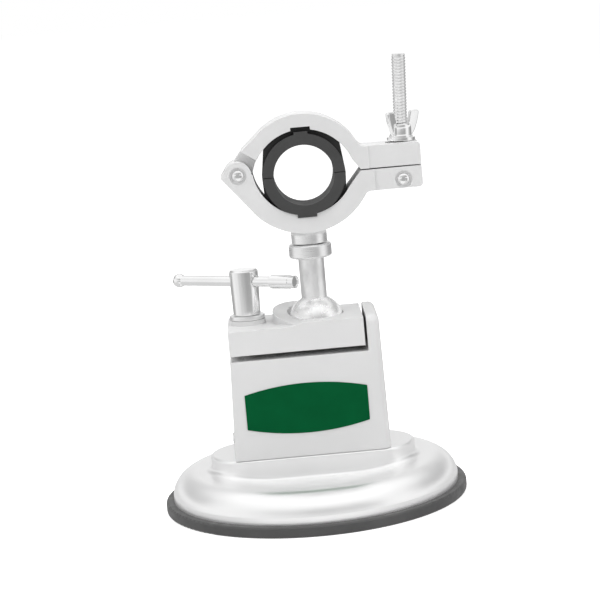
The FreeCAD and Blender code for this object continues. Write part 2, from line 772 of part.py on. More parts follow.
def clamp_cap():
    """Upper jaw that presses the ball down, hinged at its right end."""
    blank = plate("cap_blank", [
        ("-cap_left", "cap_bottom"),
        ("cap_right", "cap_bottom"),
        ("cap_right", "cap_high_top"),
        ("cap_step_x + cap_step_run", "cap_high_top"),
        ("cap_step_x", "cap_low_top"),
        ("-cap_left", "cap_low_top"),
    ], "2 * cap_half_depth")
    boss = cylinder("cap_boss", "boss_radius", "boss_height + overrun",
                    x="screw_x", z="cap_low_top - overrun")
    pillar = cylinder("hood_pillar", "hood_radius",
                      "cap_high_top - cap_bottom - overrun + 2 * hood_rise",
                      x="ball_x", z="cap_bottom + overrun")
    span = "4 * hood_radius"
    tilt = math.degrees(math.atan2(size("hood_rise"), size("hood_radius")))
    lean = FreeCAD.Rotation(ALONG_Z, size("hood_angle")) * FreeCAD.Rotation(-ALONG_Y, tilt)
    lid = doc.addObject("Part::Box", "hood_lid")
    bind(lid, Length=span, Width=span, Height="hood_radius")
    corner = lean.multVec(V(size(span) / 2, size(span) / 2, 0))
    lid.Placement = FreeCAD.Placement(V(size("ball_x"), 0, size("cap_high_top")) - corner, lean)
    hood = cut("cap_hood", pillar, lid)
    solid = join("cap_solid", blank, boss, hood)
    throat = cylinder("cap_throat", "ball_radius + seat_gap", "ball_height - cap_bottom + overrun",
                      x="ball_x", z="cap_bottom - overrun")
    seat = ball("cap_seat", "ball_radius + seat_gap", x="ball_x", z="ball_height")
    bevel = cone("cap_bevel", "ball_radius - bevel_lap", "ball_radius + bevel_width",
                 "cap_high_top + 2 * hood_rise - bevel_start", x="ball_x", z="bevel_start")
    passage = cylinder("cap_passage", "screw_radius + seat_gap", "cap_high_top - cap_bottom + 2 * overrun",
                       x="screw_x", z="cap_bottom - overrun")
    groove = box("cap_groove", "cap_right - hinge_x + tongue_round + guide_gap + overrun",
                 "2 * (tongue_half + guide_gap)",
                 "hinge_height - cap_bottom + tongue_round + guide_gap + overrun",
                 "hinge_x - tongue_round - guide_gap", "-(tongue_half + guide_gap)",
                 "cap_bottom - overrun")
    pin = cylinder("cap_pin_hole", "hinge_radius + slip", "2 * cap_half_depth - pin_cover + overrun",
                   x="hinge_x", y="cap_half_depth + overrun", z="hinge_height", along=-ALONG_Y)
    return cut("clamp_cap", solid, throat, seat, bevel, passage, groove, pin)


def cap_hinge_pin():
    """Pin of the cap's hinge, pressed into the body's tongue from the back."""
    return cylinder("cap_hinge_pin", "hinge_radius", "2 * cap_half_depth - pin_cover - seat_gap",
                    x="hinge_x", y="cap_half_depth", z="hinge_height", along=-ALONG_Y)


def clamp_washer():
    """Thrust washer between the screw's post and the cap."""
    foot = "cap_low_top + boss_height + washer_lift"
    disc = cylinder("washer_disc", "washer_radius", "washer_thickness", x="screw_x", z=foot)
    bore = cylinder("washer_bore", "screw_radius + slip", "washer_thickness", x="screw_x", z=foot)
    return cut("clamp_washer", disc, bore)


def clamp_screw():
    """Post with a cross hole for the bar, on a shank threaded into the body."""
    foot = "cap_low_top + boss_height + washer_lift + washer_thickness"
    post = turned("screw_post", [
        ("0", foot),
        ("post_foot_radius - post_edge / 2", foot),
        ("post_foot_radius", foot + " + post_edge / 2"),
        ("post_radius", "post_top - post_edge"),
        ("post_radius - post_edge", "post_top"),
        ("0", "post_top"),
    ])
    bind(post, x="screw_x")
    shank = cylinder("screw_shank", "screw_radius", foot + " - ledge_height + screw_depth - 2 * overrun",
                     x="screw_x", z="ledge_height - screw_depth + 2 * overrun")
    halves = [cylinder("screw_hole_" + side, "bar_radius + slip", "2 * post_radius", along=way)
              for side, way in (("right", ALONG_X), ("left", -ALONG_X))]
    hole = turn_about(join("screw_hole", *halves), ALONG_Z, "bar_angle", x="screw_x", z="bar_height")
    return cut("clamp_screw", join("screw_solid", post, shank), hole)


def t_bar():
    """Sliding bar with a small ball at its left end."""
    rod = cylinder("bar_rod", "bar_radius", "bar_left + bar_right - bar_cap_length + bar_cap_socket",
                   x="-bar_left", along=ALONG_X)
    knob = ball("bar_knob", "bar_ball", x="-bar_left", along=ALONG_X)
    return turn_about(join("t_bar", rod, knob), ALONG_Z, "bar_angle", x="screw_x", z="bar_height")


def t_bar_cap():
    """Cap screwed on the bar's right end, with a slimmer nose."""
    start = "bar_right - bar_cap_length"
    sleeve = cylinder("bar_sleeve", "bar_cap_radius", "bar_cap_length - bar_nose_length", x=start, along=ALONG_X)
    nose = cylinder("bar_nose", "bar_nose_radius", "bar_cap_length", x=start, along=ALONG_X)
    socket = cylinder("bar_socket", "bar_radius", "bar_cap_socket", x=start, along=ALONG_X)
    dish = cylinder("bar_dish", "bar_radius", "overrun", x="bar_right - overrun / 2", along=ALONG_X)
    cap = cut("t_bar_cap", join("bar_cap_solid", sleeve, nose), socket, dish)
    return turn_about(cap, ALONG_Z, "bar_angle", x="screw_x", z="bar_height")


def lock_collar():
    """Round nut that locks the ring on the stud."""
    bore = "stud_thread + thread_fit"
    body = turned("lock_collar", [
        (bore, "collar_bottom"),
        ("collar_radius - collar_edge", "collar_bottom"),
        ("collar_radius", "collar_bottom + collar_edge"),
        ("collar_radius", "collar_top - collar_edge"),
        ("collar_radius - collar_edge", "collar_top"),
        (bore, "collar_top"),
    ])
    return bind(body, x="ball_x")


def hexagon(name, flats, height, x, y, z):
    """Six-sided nut blank along Y."""
    prism = doc.addObject("Part::Prism", name)
    prism.Polygon = 6
    prism.Placement.Rotation = FreeCAD.Rotation(ALONG_Z, ALONG_Y)
    return bind(prism, Circumradius=flats + " / sqrt(3)", Height=height, x=x, y=y, z=z)


def pivot_pair(name, make):
    """The same fastener at the ring's hinge and at the bolt's pivot."""
    places = (("hinge", "ball_x + knuckle_x", "split_height + knuckle_rise", "ring_half_depth"),
              ("bolt", "ball_x + bolt_x", "split_height - bolt_drop", "tab_half_depth"))
    return join(name, *[make(name + "_" + tag, x, z, face) for tag, x, z, face in places])


def pivot_screw(name, x, z, face):
    front = "-" + face + " + spot_depth"
    head = cylinder(name + "_head", "pivot_head", "pivot_head_height", x=x, y=front + " - pivot_head_height",
                    z=z, along=ALONG_Y)
    shank = cylinder(name + "_shank", "pivot_radius", "2 * " + face + " - spot_depth + nut_height",
                     x=x, y=front, z=z, along=ALONG_Y)
    drive = cylinder(name + "_drive", "pivot_radius / 2", "pivot_head_height / 2",
                     x=x, y=front + " - pivot_head_height", z=z, along=ALONG_Y)
    return cut(name, join(name + "_solid", head, shank), drive)


def pivot_nut(name, x, z, face):
    blank = hexagon(name + "_blank", "nut_flats", "nut_height", x, face, z)
    bore = cylinder(name + "_bore", "pivot_radius + thread_fit", "nut_height",
                    x=x, y=face, z=z, along=ALONG_Y)
    return cut(name, blank, bore)


def spot_face(name, x, z, face):
    """Round sinking for a pivot screw's head, and the screw's hole."""
    sink = cylinder(name + "_sink", "spot_radius", "spot_depth + overrun", x=x, y="-" + face + " - overrun",
                    z=z, along=ALONG_Y)
    hole = cylinder(name + "_hole", "pivot_radius + slip", "2 * (" + face + " + overrun)",
                    x=x, y="-" + face + " - overrun", z=z, along=ALONG_Y)
    return [sink, hole]


def key_slot(name, bore, centre, sign):
    """Slot in the bore for an insert's key."""
    height = "key_depth + " + bore + " / 2"
    z = "split_height + (" + centre + ") " + sign + " (" + bore + " / 2)"
    if sign == "-":
        z += " - (" + height + ")"
    return box(name, "2 * key_half", "2 * (ring_half_depth + overrun)", height,
               "ball_x - key_half", "-ring_half_depth - overrun", z)


def filleted_tab(name, blank, tab_in):
    """Half ring with the inner corner between its rim and its tab rounded."""
    def inner_corner(edge):
        box = edge.BoundBox
        across = box.YLength > size("ring_half_depth") and box.XLength < size("slip")
        return across and near(box.XMin, "ball_x + " + tab_in)

    return rounded(name, blank, "tab_fillet", inner_corner)


def ring_lower():
    """Lower half of the ring with its stem boss, clevis and slotted tab."""
    bore_x = "sqrt(lower_bore^2 - (lower_bore_rise - knuckle_rise)^2)"
    turn_x = "sqrt(lower_bore^2 - (lower_bore_rise + tip_run_down)^2)"
    out_left = "lower_out * rim_across_share"
    out_left_up = "lower_out_rise - lower_out * rim_up_share"
    tab_in = "sqrt(lower_out^2 - (lower_out_rise + tab_down)^2)"
    blank = plate("lower_blank", [
        ("-knuckle_corner", "knuckle_rise - corner_drop"),
        ("-" + out_left, out_left_up, "lower_out", 1),
        (tab_in, "-tab_down"),
        ("tab_end - tab_round", "-tab_down", "tab_round", 1),
        ("tab_end", "tab_round - tab_down"),
        ("tab_end", "-split_gap / 2"),
        ("ring_tip", "-split_gap / 2"),
        (turn_x, "-tip_run_down", "lower_bore", -1),
        ("-" + turn_x, "-tip_run_down", "lower_bore", -1),
        ("-" + bore_x, "knuckle_rise"),
        ("knuckle_x - knuckle_radius * corner_across_share",
         "knuckle_rise + knuckle_radius * corner_up_share"),
    ], "2 * ring_half_depth")
    bind(blank, x="ball_x", z="split_height")
    blank = filleted_tab("lower_filleted", blank, tab_in)
    knuckle = cylinder("lower_knuckle", "knuckle_radius", "2 * ring_half_depth",
                       x="ball_x + knuckle_x", y="-ring_half_depth",
                       z="split_height + knuckle_rise", along=ALONG_Y)
    boss = cylinder("lower_boss", "ring_boss_radius", "split_height - lower_bore - ring_boss_bottom",
                    x="ball_x", z="ring_boss_bottom")
    solid = join("lower_solid", blank, knuckle, boss)
    clevis = cylinder("lower_clevis", "knuckle_radius + guide_gap + cheek_gap",
                      "tongue_thickness + 2 * cheek_gap",
                      x="ball_x + knuckle_x", y="-tongue_thickness / 2 - cheek_gap",
                      z="split_height + knuckle_rise", along=ALONG_Y)
    gap = box("lower_clevis_gap", "knuckle_corner + knuckle_x + overrun + knuckle_radius",
              "tongue_thickness + 2 * cheek_gap", "2 * knuckle_radius",
              "ball_x - knuckle_corner - overrun", "-tongue_thickness / 2 - cheek_gap",
              "split_height + knuckle_rise - knuckle_radius / 2")
    slot = box("lower_slot", "tab_end - slot_start + overrun", "2 * slot_half", "tab_down + 2 * overrun",
               "ball_x + slot_start", "-slot_half", "split_height - tab_down - overrun")
    thread = cylinder("lower_thread", "stud_thread + thread_fit",
                      "stud_top - ring_boss_bottom + 2 * overrun",
                      x="ball_x", z="ring_boss_bottom - overrun")
    tools = [clevis, gap, slot, thread, key_slot("lower_key_slot", "lower_bore", "lower_bore_rise", "-")]
    for side, y in (("front", "-ring_half_depth - overrun"), ("back", "tab_half_depth")):
        tools.append(box("lower_tab_relief_" + side, "tab_end - lower_out + overrun",
                         "ring_half_depth - tab_half_depth + overrun", "tab_down + 2 * overrun",
                         "ball_x + lower_out", y, "split_height - tab_down - overrun"))
    tools += spot_face("lower_hinge", "ball_x + knuckle_x", "split_height + knuckle_rise", "ring_half_depth")
    tools += spot_face("lower_pivot", "ball_x + bolt_x", "split_height - bolt_drop", "tab_half_depth")
    return cut("ring_lower", solid, *tools)


def ring_upper():
    """Upper half of the ring with its hinge tongue and slotted tab."""
    tip_x = "sqrt(upper_bore^2 - (upper_bore_drop + tip_run_up)^2)"
    tab_in = "sqrt(upper_out^2 - (upper_out_drop + tab_up)^2)"
    crown = "upper_out * rim_across_share"
    crown_up = "upper_out * rim_up_share - upper_out_drop"
    shoulder_in = "-sqrt(upper_bore^2 - (upper_bore_drop + shoulder_in_up)^2)"
    blank = plate("upper_blank", [
        ("ring_tip", "split_gap / 2"),
        ("tab_end", "split_gap / 2"),
        ("tab_end", "tab_up - tab_round", "tab_round", 1),
        ("tab_end - tab_round", "tab_up"),
        (tab_in, "tab_up", "upper_out", 1),
        ("-" + crown, crown_up),
        ("shoulder_x", "shoulder_up"),
        (shoulder_in, "shoulder_in_up", "upper_bore", -1),
        (tip_x, "tip_run_up"),
    ], "2 * ring_half_depth")
    bind(blank, x="ball_x", z="split_height")
    blank = filleted_tab("upper_filleted", blank, tab_in)
    eye = cylinder("upper_eye", "knuckle_radius", "tongue_thickness",
                   x="ball_x + knuckle_x", y="-tongue_thickness / 2", z="split_height + knuckle_rise",
                   along=ALONG_Y)
    bore_left = "sqrt(upper_bore^2 - (upper_bore_drop + knuckle_rise)^2)"
    neck = plate("upper_neck", [
        ("knuckle_x - knuckle_radius", "knuckle_rise"),
        ("-" + bore_left, "knuckle_rise", "upper_bore", -1),
        (shoulder_in, "shoulder_in_up"),
        ("shoulder_x", "shoulder_up"),
    ], "tongue_thickness")
    bind(neck, x="ball_x", z="split_height")
    solid = join("upper_solid", blank, eye, neck)
    slot = box("upper_slot", "tab_end - slot_start + overrun", "2 * slot_half", "tab_up + 2 * overrun",
               "ball_x + slot_start", "-slot_half", "split_height - overrun")
    hole = cylinder("upper_hinge_hole", "pivot_radius + slip", "tongue_thickness + 2 * overrun",
                    x="ball_x + knuckle_x", y="-tongue_thickness / 2 - overrun",
                    z="split_height + knuckle_rise", along=ALONG_Y)
    tools = [slot, hole, key_slot("upper_key_slot", "upper_bore", "-upper_bore_drop", "+")]
    for side, y in (("front", "-ring_half_depth - overrun"), ("back", "tab_half_depth")):
        tools.append(box("upper_tab_relief_" + side, "tab_end - upper_out - overrun + 2 * overrun",
                         "ring_half_depth - tab_half_depth + overrun", "tab_up + 2 * overrun",
                         "ball_x + upper_out + overrun", y, "split_height - overrun"))
    return cut("ring_upper", solid, *tools)


def insert_half(name, bore, centre, corner, sign):
    """Half of the insert: a keyed band that fills the bore, with a round face raised on each end."""
    far = bore + " - insert_fit"
    across = "sqrt((" + far + ")^2 - (" + corner + " + " + centre + ")^2)"
    solid = plate(name + "_band", [
        ("insert_waist", sign + "(insert_split / 2)"),
        (across, sign + corner, far, 1 if sign == "" else -1),
        ("-" + across, sign + corner),
        ("-insert_waist", sign + "(insert_split / 2)"),
    ], "2 * insert_half_length")
    rims = []
    for side, y in (("front", "-insert_half_length - overrun"),
                    ("back", "insert_half_length - insert_step_depth")):
        rim = cylinder(name + "_rim_" + side, bore + " + overrun", "insert_step_depth + overrun",
                       y=y, along=ALONG_Y)
        core = cylinder(name + "_core_" + side, "insert_face", "insert_step_depth + 3 * overrun",
                        y=y + " - overrun", along=ALONG_Y)
        rims.append(cut(name + "_ledge_" + side, rim, core))
    solid = cut(name + "_stepped", solid, *rims)
    reach = "(" + bore + " - (" + centre + ") + key_depth - insert_fit)"
    band_half = "(insert_half_length - insert_step_depth)"
    half = "(key_half - insert_fit)"
    if sign == "":
        key = box(name + "_key", "2 * " + half, "2 * " + band_half, reach + " - insert_corner_down",
                  "-" + half, "-" + band_half, "insert_corner_down")
        half = "(key_half - insert_fit - insert_key_side)"
        face_key = box(name + "_face_key", "2 * " + half, "2 * insert_half_length",
                       reach + " - insert_key_drop - insert_corner_down",
                       "-" + half, "-insert_half_length", "insert_corner_down")
        solid = join(name + "_solid", solid, key, face_key)
    else:
        key = box(name + "_key", "2 * " + half, "2 * insert_half_length", reach + " - insert_corner_down",
                  "-" + half, "-insert_half_length", "-" + reach)
        solid = join(name + "_solid", solid, key)
    hole = cylinder(name + "_hole", "hole_radius", "2 * (insert_half_length + overrun)",
                    y="-insert_half_length - overrun", along=ALONG_Y)
    return bind(cut(name, solid, hole), x="ball_x", z="split_height")


def swing_bolt():
    """Threaded rod on an eye."""
    start = "eye_radius * eye_side_share"
    rod = cylinder("bolt_rod", "bolt_radius", "bolt_length - bolt_edge - " + start, z=start)
    end = cone("bolt_end", "bolt_radius", "bolt_radius - bolt_edge", "bolt_edge",
               z="bolt_length - bolt_edge")
    eye = cylinder("bolt_eye", "eye_radius", "2 * eye_half", y="-eye_half", along=ALONG_Y)
    hole = cylinder("bolt_hole", "pivot_radius + slip", "2 * (eye_half + overrun)",
                    y="-eye_half - overrun", along=ALONG_Y)
    return on_bolt(cut("swing_bolt", join("bolt_solid", rod, end, eye), hole))


def on_bolt(thing):
    """Set a piece made about the bolt's pivot in its place, with the bolt's lean."""
    return turn_about(thing, ALONG_Y, "lean_angle", x="ball_x + bolt_x", z="split_height - bolt_drop")


def nut_washer():
    disc = cylinder("flat_disc", "flat_washer_radius", "flat_washer", z="nut_seat")
    bore = cylinder("flat_bore", "bolt_radius + slip", "flat_washer", z="nut_seat")
    return on_bolt(cut("nut_washer", disc, bore))


def wing_nut():
    """Round hub with two upswept wings."""
    foot = "nut_seat + flat_washer"
    hub = cone("wing_hub", "hub_radius", "hub_top_radius", "hub_height", z=foot)
    wings = []
    for side, sign in (("left", "-"), ("right", "")):
        low = "hub_top_radius / 2"
        points = [
            (sign + "(" + low + ")", foot + " + hub_height * wing_foot_share"),
            (sign + "(wing_span * wing_low_share)", foot + " + hub_height * wing_foot_share"),
            (sign + "(wing_span * wing_side_share)", foot + " + wing_height / 2"),
            (sign + "(wing_span)", foot + " + wing_height - wing_thickness * wing_round_share"),
            (sign + "(wing_span - wing_thickness * wing_round_share)", foot + " + wing_height"),
            (sign + "(wing_span * wing_inner_share)", foot + " + wing_height"),
            (sign + "(" + low + ")", foot + " + hub_height"),
        ]
        wing = plate("wing_" + side, points, "wing_thickness")
        wings.append(turn_about(wing, ALONG_Z, "-(" + sign + "wing_bend)"))
    bore = cylinder("wing_bore", "bolt_radius + thread_fit", "wing_height + 2 * overrun",
                    z=foot + " - overrun")
    solid = turn_about(join("wing_solid", hub, *wings), ALONG_Z, "wing_angle")
    return on_bolt(cut("wing_nut", solid, bore))


MAKERS = [
    suction_pad, base_cover, base_screws, vise_body, label_plate, pull_stud, release_spring,
    cam_shaft, shaft_clip, lever_arm, lever_grip, lever_screw, ball_seat, ball_stud, clamp_cap,
    cap_hinge_pin, clamp_washer, clamp_screw, t_bar, t_bar_cap, lock_collar, ring_lower, ring_upper,
    swing_bolt, nut_washer, wing_nut,
]
for make in MAKERS:
    parts[make.__name__] = make()
parts["pivot_screws"] = pivot_pair("pivot_screws", pivot_screw)
parts["pivot_nuts"] = pivot_pair("pivot_nuts", pivot_nut)
parts["insert_upper"] = insert_half(
    "insert_upper", "upper_bore", "upper_bore_drop", "insert_corner_up", "")
parts["insert_lower"] = insert_half(
    "insert_lower", "lower_bore", "lower_bore_rise", "insert_corner_down", "-")

doc.recompute()
for thing in doc.Objects:
    if "Invalid" in thing.State or "Error" in thing.State:
        raise RuntimeError("failed object: %s %s" % (thing.Name, thing.getStatusString()))
for name, thing in parts.items():
    thing.Label = name
    shape = thing.Shape
    if shape.isNull() or not shape.isValid() or not shape.Solids:
        raise RuntimeError("bad shape: %s" % name)

os.makedirs("parts", exist_ok=True)
for name, thing in parts.items():
    thing.Shape.exportStep("parts/%s.step" % thing.Label)
    spread = thing.Shape.BoundBox
    print("%-16s solids %d volume %9.1f  x %7.2f %7.2f  y %7.2f %7.2f  z %7.2f %7.2f" % (
        name, len(thing.Shape.Solids), thing.Shape.Volume, spread.XMin, spread.XMax,
        spread.YMin, spread.YMax, spread.ZMin, spread.ZMax))
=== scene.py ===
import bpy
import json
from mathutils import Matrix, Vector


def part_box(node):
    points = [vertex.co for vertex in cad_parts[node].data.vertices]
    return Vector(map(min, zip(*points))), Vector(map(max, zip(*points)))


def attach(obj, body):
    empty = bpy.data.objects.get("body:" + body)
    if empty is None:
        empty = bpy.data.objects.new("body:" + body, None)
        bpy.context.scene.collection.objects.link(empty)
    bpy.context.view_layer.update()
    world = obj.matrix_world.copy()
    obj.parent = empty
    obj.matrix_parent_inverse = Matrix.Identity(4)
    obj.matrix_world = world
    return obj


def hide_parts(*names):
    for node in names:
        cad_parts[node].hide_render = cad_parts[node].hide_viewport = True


bl_info = {
    "name": "Suction base vise",
    "version": (1, 0, 0),
    "blender": (4, 5, 0),
    "location": "View3D > Sidebar > Vise",
    "description": "Dresses the packed vise with its metal, paint, rubber and plastic finishes",
    "category": "Object",
}

import json
import math

import bmesh
import bpy
from bpy.props import FloatProperty, FloatVectorProperty, IntProperty, PointerProperty
from mathutils import Matrix, Vector

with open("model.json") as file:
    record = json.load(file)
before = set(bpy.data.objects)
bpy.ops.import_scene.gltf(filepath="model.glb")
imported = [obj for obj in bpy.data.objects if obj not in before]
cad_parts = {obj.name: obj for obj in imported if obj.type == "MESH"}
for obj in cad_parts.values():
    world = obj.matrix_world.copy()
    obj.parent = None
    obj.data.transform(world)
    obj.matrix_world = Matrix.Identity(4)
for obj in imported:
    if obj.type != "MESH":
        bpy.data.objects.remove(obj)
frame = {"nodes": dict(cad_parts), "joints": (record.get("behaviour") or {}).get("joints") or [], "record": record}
NODES = frame["nodes"]
BODY_OF = {node: body for body, nodes in frame["record"]["behaviour"]["bodies"].items() for node in nodes}
JOINTS = {joint["name"]: joint for joint in frame["joints"]}
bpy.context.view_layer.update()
MM = 0.001


# Sizes and colours that a user would change

class ViseSizes(bpy.types.PropertyGroup):
    edge_round: FloatProperty(name="Edge rounding", description="Radius on the machined edges",
                              default=0.35 * MM, min=0.0, unit="LENGTH", precision=5)
    cast_round: FloatProperty(name="Cast rounding", description="Radius on the cast ring's edges",
                              default=0.55 * MM, min=0.0, unit="LENGTH", precision=5)
    thread_pitch: FloatProperty(name="Thread pitch", description="Rise per turn of the bolt's thread",
                                default=1.27 * MM, min=0.2 * MM, unit="LENGTH", precision=5)
    thread_depth: FloatProperty(name="Thread depth", description="Depth of the swing bolt's thread",
                                default=0.32 * MM, min=0.0, unit="LENGTH", precision=5)
    wing_thickness: FloatProperty(name="Wing thickness", description="Thickness of the wing nut's wings",
                                  default=1.9 * MM, min=0.5 * MM, unit="LENGTH", precision=5)
    round_steps: IntProperty(name="Round steps", description="Steps round a turned piece",
                             default=64, min=12, max=256)


class ViseFinishes(bpy.types.PropertyGroup):
    paint: FloatVectorProperty(name="Paint", description="Body and cap paint", subtype="COLOR",
                               default=(0.68, 0.68, 0.68), min=0.0, max=1.0)
    ring: FloatVectorProperty(name="Ring", description="Bead-blasted ring clamp", subtype="COLOR",
                              default=(0.70, 0.70, 0.70), min=0.0, max=1.0)
    dome: FloatVectorProperty(name="Dome", description="Satin metal of the base", subtype="COLOR",
                              default=(0.96, 0.96, 0.96), min=0.0, max=1.0)
    steel: FloatVectorProperty(name="Steel", description="Polished steel", subtype="COLOR",
                               default=(0.94, 0.94, 0.94), min=0.0, max=1.0)
    thread: FloatVectorProperty(name="Thread", description="Threaded steel", subtype="COLOR",
                                default=(0.88, 0.88, 0.88), min=0.0, max=1.0)
    rubber: FloatVectorProperty(name="Rubber", description="Suction pad", subtype="COLOR",
                                default=(0.058, 0.058, 0.058), min=0.0, max=1.0)
    insert: FloatVectorProperty(name="Insert", description="Moulded insert", subtype="COLOR",
                                default=(0.052, 0.052, 0.052), min=0.0, max=1.0)
    label: FloatVectorProperty(name="Label", description="Bare label plate", subtype="COLOR",
                               default=(0.002, 0.086, 0.027), min=0.0, max=1.0)
    grip: FloatVectorProperty(name="Grip", description="Lever grip", subtype="COLOR",
                              default=(0.62, 0.62, 0.63), min=0.0, max=1.0)


class ViseStudio(bpy.types.PropertyGroup):
    azimuth: FloatProperty(name="Azimuth", description="Camera's turn round the vise",
                           default=math.radians(-0.601), subtype="ANGLE")
    elevation: FloatProperty(name="Elevation", description="Camera's height above the horizon",
                             default=math.radians(9.173), subtype="ANGLE")
    roll: FloatProperty(name="Roll", description="Camera's roll about its view",
                        default=math.radians(-5.061), subtype="ANGLE")
    distance: FloatProperty(name="Distance", description="Camera to the vise's middle",
                            default=0.8879, unit="LENGTH")
    target: FloatVectorProperty(name="Target", description="Point that the camera looks at", subtype="XYZ",
                                default=(0.19 * MM, 0.0, 86.54 * MM))
    focal: FloatProperty(name="Focal length", description="Lens on a 36 mm wide sensor",
                         default=124.82, unit="CAMERA")
    fill: FloatProperty(name="Fill", description="World light on matt surfaces", default=0.48, min=0.0)
    key: FloatProperty(name="Key", description="Power of the softboxes",
                       default=5.0, min=0.0, subtype="POWER")


def sizes():
    return bpy.context.scene.vise_sizes


def finishes():
    return bpy.context.scene.vise_finishes


def studio():
    return bpy.context.scene.vise_studio


# How bright the studio looks to metal, by degrees round the vise: 0 is the front, 90 the right
ROOM = (
    (-180, 0.72), (-160, 0.42), (-118, 0.42), (-96, 0.92), (-60, 0.85), (-40, 0.66), (-10, 0.48), (16, 0.38),
    (44, 0.38), (58, 0.9), (76, 1.0), (90, 0.72), (112, 0.3), (150, 0.36), (180, 0.72),
)

# How far the room's sides give way to what hangs above them, by height: 0 is straight down, 0.5 level
HEIGHT = (
    (0.0, 0.0), (0.503, 0.0), (0.53, 0.97), (0.58, 0.97), (0.64, 0.0), (0.75, 0.1), (0.87, 1.0), (1.0, 1.0),
)

# How bright it is above the room's sides, by height
ABOVE = ((0.0, 1.0), (0.6, 1.0), (0.8, 0.88), (0.94, 1.05), (1.0, 0.95))

# How bright the floor close to the vise looks to metal, by degrees round it
NEAR = (
    (-180, 0.7), (-70, 0.68), (-45, 0.74), (-22, 0.96), (22, 0.96), (45, 0.74), (70, 0.68), (180, 0.7),
)

# Softboxes: name, place in metres, width in metres and share of the key power
SOFTBOXES = (
    ("Softbox left", (-0.95, -0.75, 0.75), 0.8, 1.05),
    ("Softbox right", (1.0, -0.7, 0.6), 0.8, 0.85),
    ("Softbox top", (0.0, 0.0, 1.3), 1.1, 2.5),
)
SOFTBOX_AIM = Vector((0, 0, 0.08))

# Floor: half its width, its grey, its glow where the camera sees it, and the distances between which its
# near part gives way to its far part in what metal mirrors
FLOOR_REACH = 9.0
FLOOR_GREY = (0.86, 0.86, 0.86, 1)
FLOOR_GLOW = 0.6
FLOOR_NEAR = 0.26
FLOOR_FAR = 0.42

# Heights between which a finish changes; over the first pair the paint is painted lighter towards the foot, as
# painted light
PAINTED_LIGHT_FOOT = (45 * MM, 20 * MM)
MACHINED_BOSS = (115.2 * MM, 114.6 * MM)
NECK_FOOT = (87.5 * MM, 89.5 * MM)

# Colours of plain light, of paint edges that are partly worn and partly a painted highlight, of the painted
# highlight on cast edges, and of the ball's cup
WHITE = (1, 1, 1, 1)
WORN_AND_HIGHLIT_PAINT = (0.86, 0.86, 0.86, 1)
HIGHLIT_CAST_EDGE = (0.9, 0.9, 0.9, 1)
CUP_COLOUR = (0.7, 0.69, 0.64)

# Limits of the smoothing: points that join, faces that count as one plane, edges that are rounded, and
# edges that stay sharp in the shading
JOINED = 0.002 * MM
ONE_PLANE = math.radians(0.05)
ROUNDED = math.radians(30)
SHARP = math.radians(38)

# Pivot screws: joint, seat under the head and end of the shank, in mm from the middle
PIVOTS = (("ring_open", -8.1, 12.0), ("bolt_swing", -7.4, 11.3))

# Button head as (radius, height) in mm, closed by its shank, and its six-sided recess
BUTTON = ((0, 1.45), (0.9, 1.42), (1.6, 1.25), (2.2, 0.85), (2.6, 0.35), (2.7, 0.1), (2.7, 0), (2.0, 0))
SHANK_RADIUS = 2.0
RECESS_RADIUS = 1.0 * MM
RECESS_FLOOR = -0.8 * MM
RECESS_MOUTH = -2.0 * MM

# Swing bolt: thread, eye and the hole through the eye
BOLT_RADIUS = 3.0 * MM
BOLT_FOOT = 2.8 * MM
BOLT_END_GAP = 0.6 * MM
EYE_RADIUS = 3.7 * MM
EYE_HALF = 3.15 * MM
EYE_HOLE = 2.06 * MM
EYE_CUT = 5 * MM

# Wing nut: height of its foot over the bolt's pivot, then in mm its hub as (radius, height) and a wing as
# (distance out, height)
NUT_FOOT = 17.2 * MM
HUB = ((4.9, 0.0), (5.0, 0.35), (4.9, 0.8), (4.55, 1.1), (4.5, 3.6), (4.35, 4.9), (4.0, 5.4),
       (3.3, 5.45), (3.05, 5.1), (3.05, 0.3), (3.3, 0.0), (4.9, 0.0))
WING = ((2.9, 0.7), (6.2, 0.6), (7.6, 2.5), (8.9, 5.3), (9.7, 7.7), (10.15, 9.8), (9.9, 10.6), (9.2, 10.75),
        (5.8, 10.7), (5.2, 10.2), (4.7, 8.2), (4.1, 6.2), (3.2, 5.2))

# Side of each wing and its turn about the bolt, in degrees
WING_TURNS = ((1, 38), (-1, 52))


# Material nodes

def add(tree, kind, inputs=None, **settings):
    """A node with its settings made and its inputs set or linked."""
    made = tree.nodes.new(kind)
    for key, value in settings.items():
        setattr(made, key, value)
    for key, value in (inputs or {}).items():
        if isinstance(value, bpy.types.NodeSocket):
            tree.links.new(value, made.inputs[key])
        else:
            made.inputs[key].default_value = value
    return made


def material(name, build):
    """The named material, built the first time that it is asked for."""
    known = bpy.data.materials.get(name)
    if known:
        return known
    made = bpy.data.materials.new(name)
    made.use_nodes = True
    tree = made.node_tree
    tree.nodes.clear()
    shader = build(tree)
    add(tree, "ShaderNodeOutputMaterial", {"Surface": shader.outputs[0]})
    return made


def noise(tree, scale, detail=2.0, stretch=(1, 1, 1)):
    place = add(tree, "ShaderNodeTexCoord").outputs["Object"]
    place = add(tree, "ShaderNodeMapping", {"Vector": place, "Scale": stretch}).outputs["Vector"]
    return add(tree, "ShaderNodeTexNoise", {
        "Vector": place, "Scale": scale, "Detail": detail}).outputs["Fac"]


def spread(tree, value, low, high, start=0.3, end=0.7):
    """Map a noise's middle range to a range of values."""
    return add(tree, "ShaderNodeMapRange", {
        "Value": value, "From Min": start, "From Max": end, "To Min": low, "To Max": high}).outputs["Result"]


def product(tree, first, second):
    return add(tree, "ShaderNodeMath", {0: first, 1: second}, operation="MULTIPLY").outputs[0]


def between(tree, factor, low, high):
    """Value from low to high, by a factor."""
    return add(tree, "ShaderNodeMix", {"Factor": factor, "A": low, "B": high}).outputs["Result"]


def mixed(tree, factor, first, second):
    """Colour from the first to the second, by a factor."""
    return add(tree, "ShaderNodeMix", {"Factor": factor, "A": first, "B": second},
               data_type="RGBA").outputs["Result"]


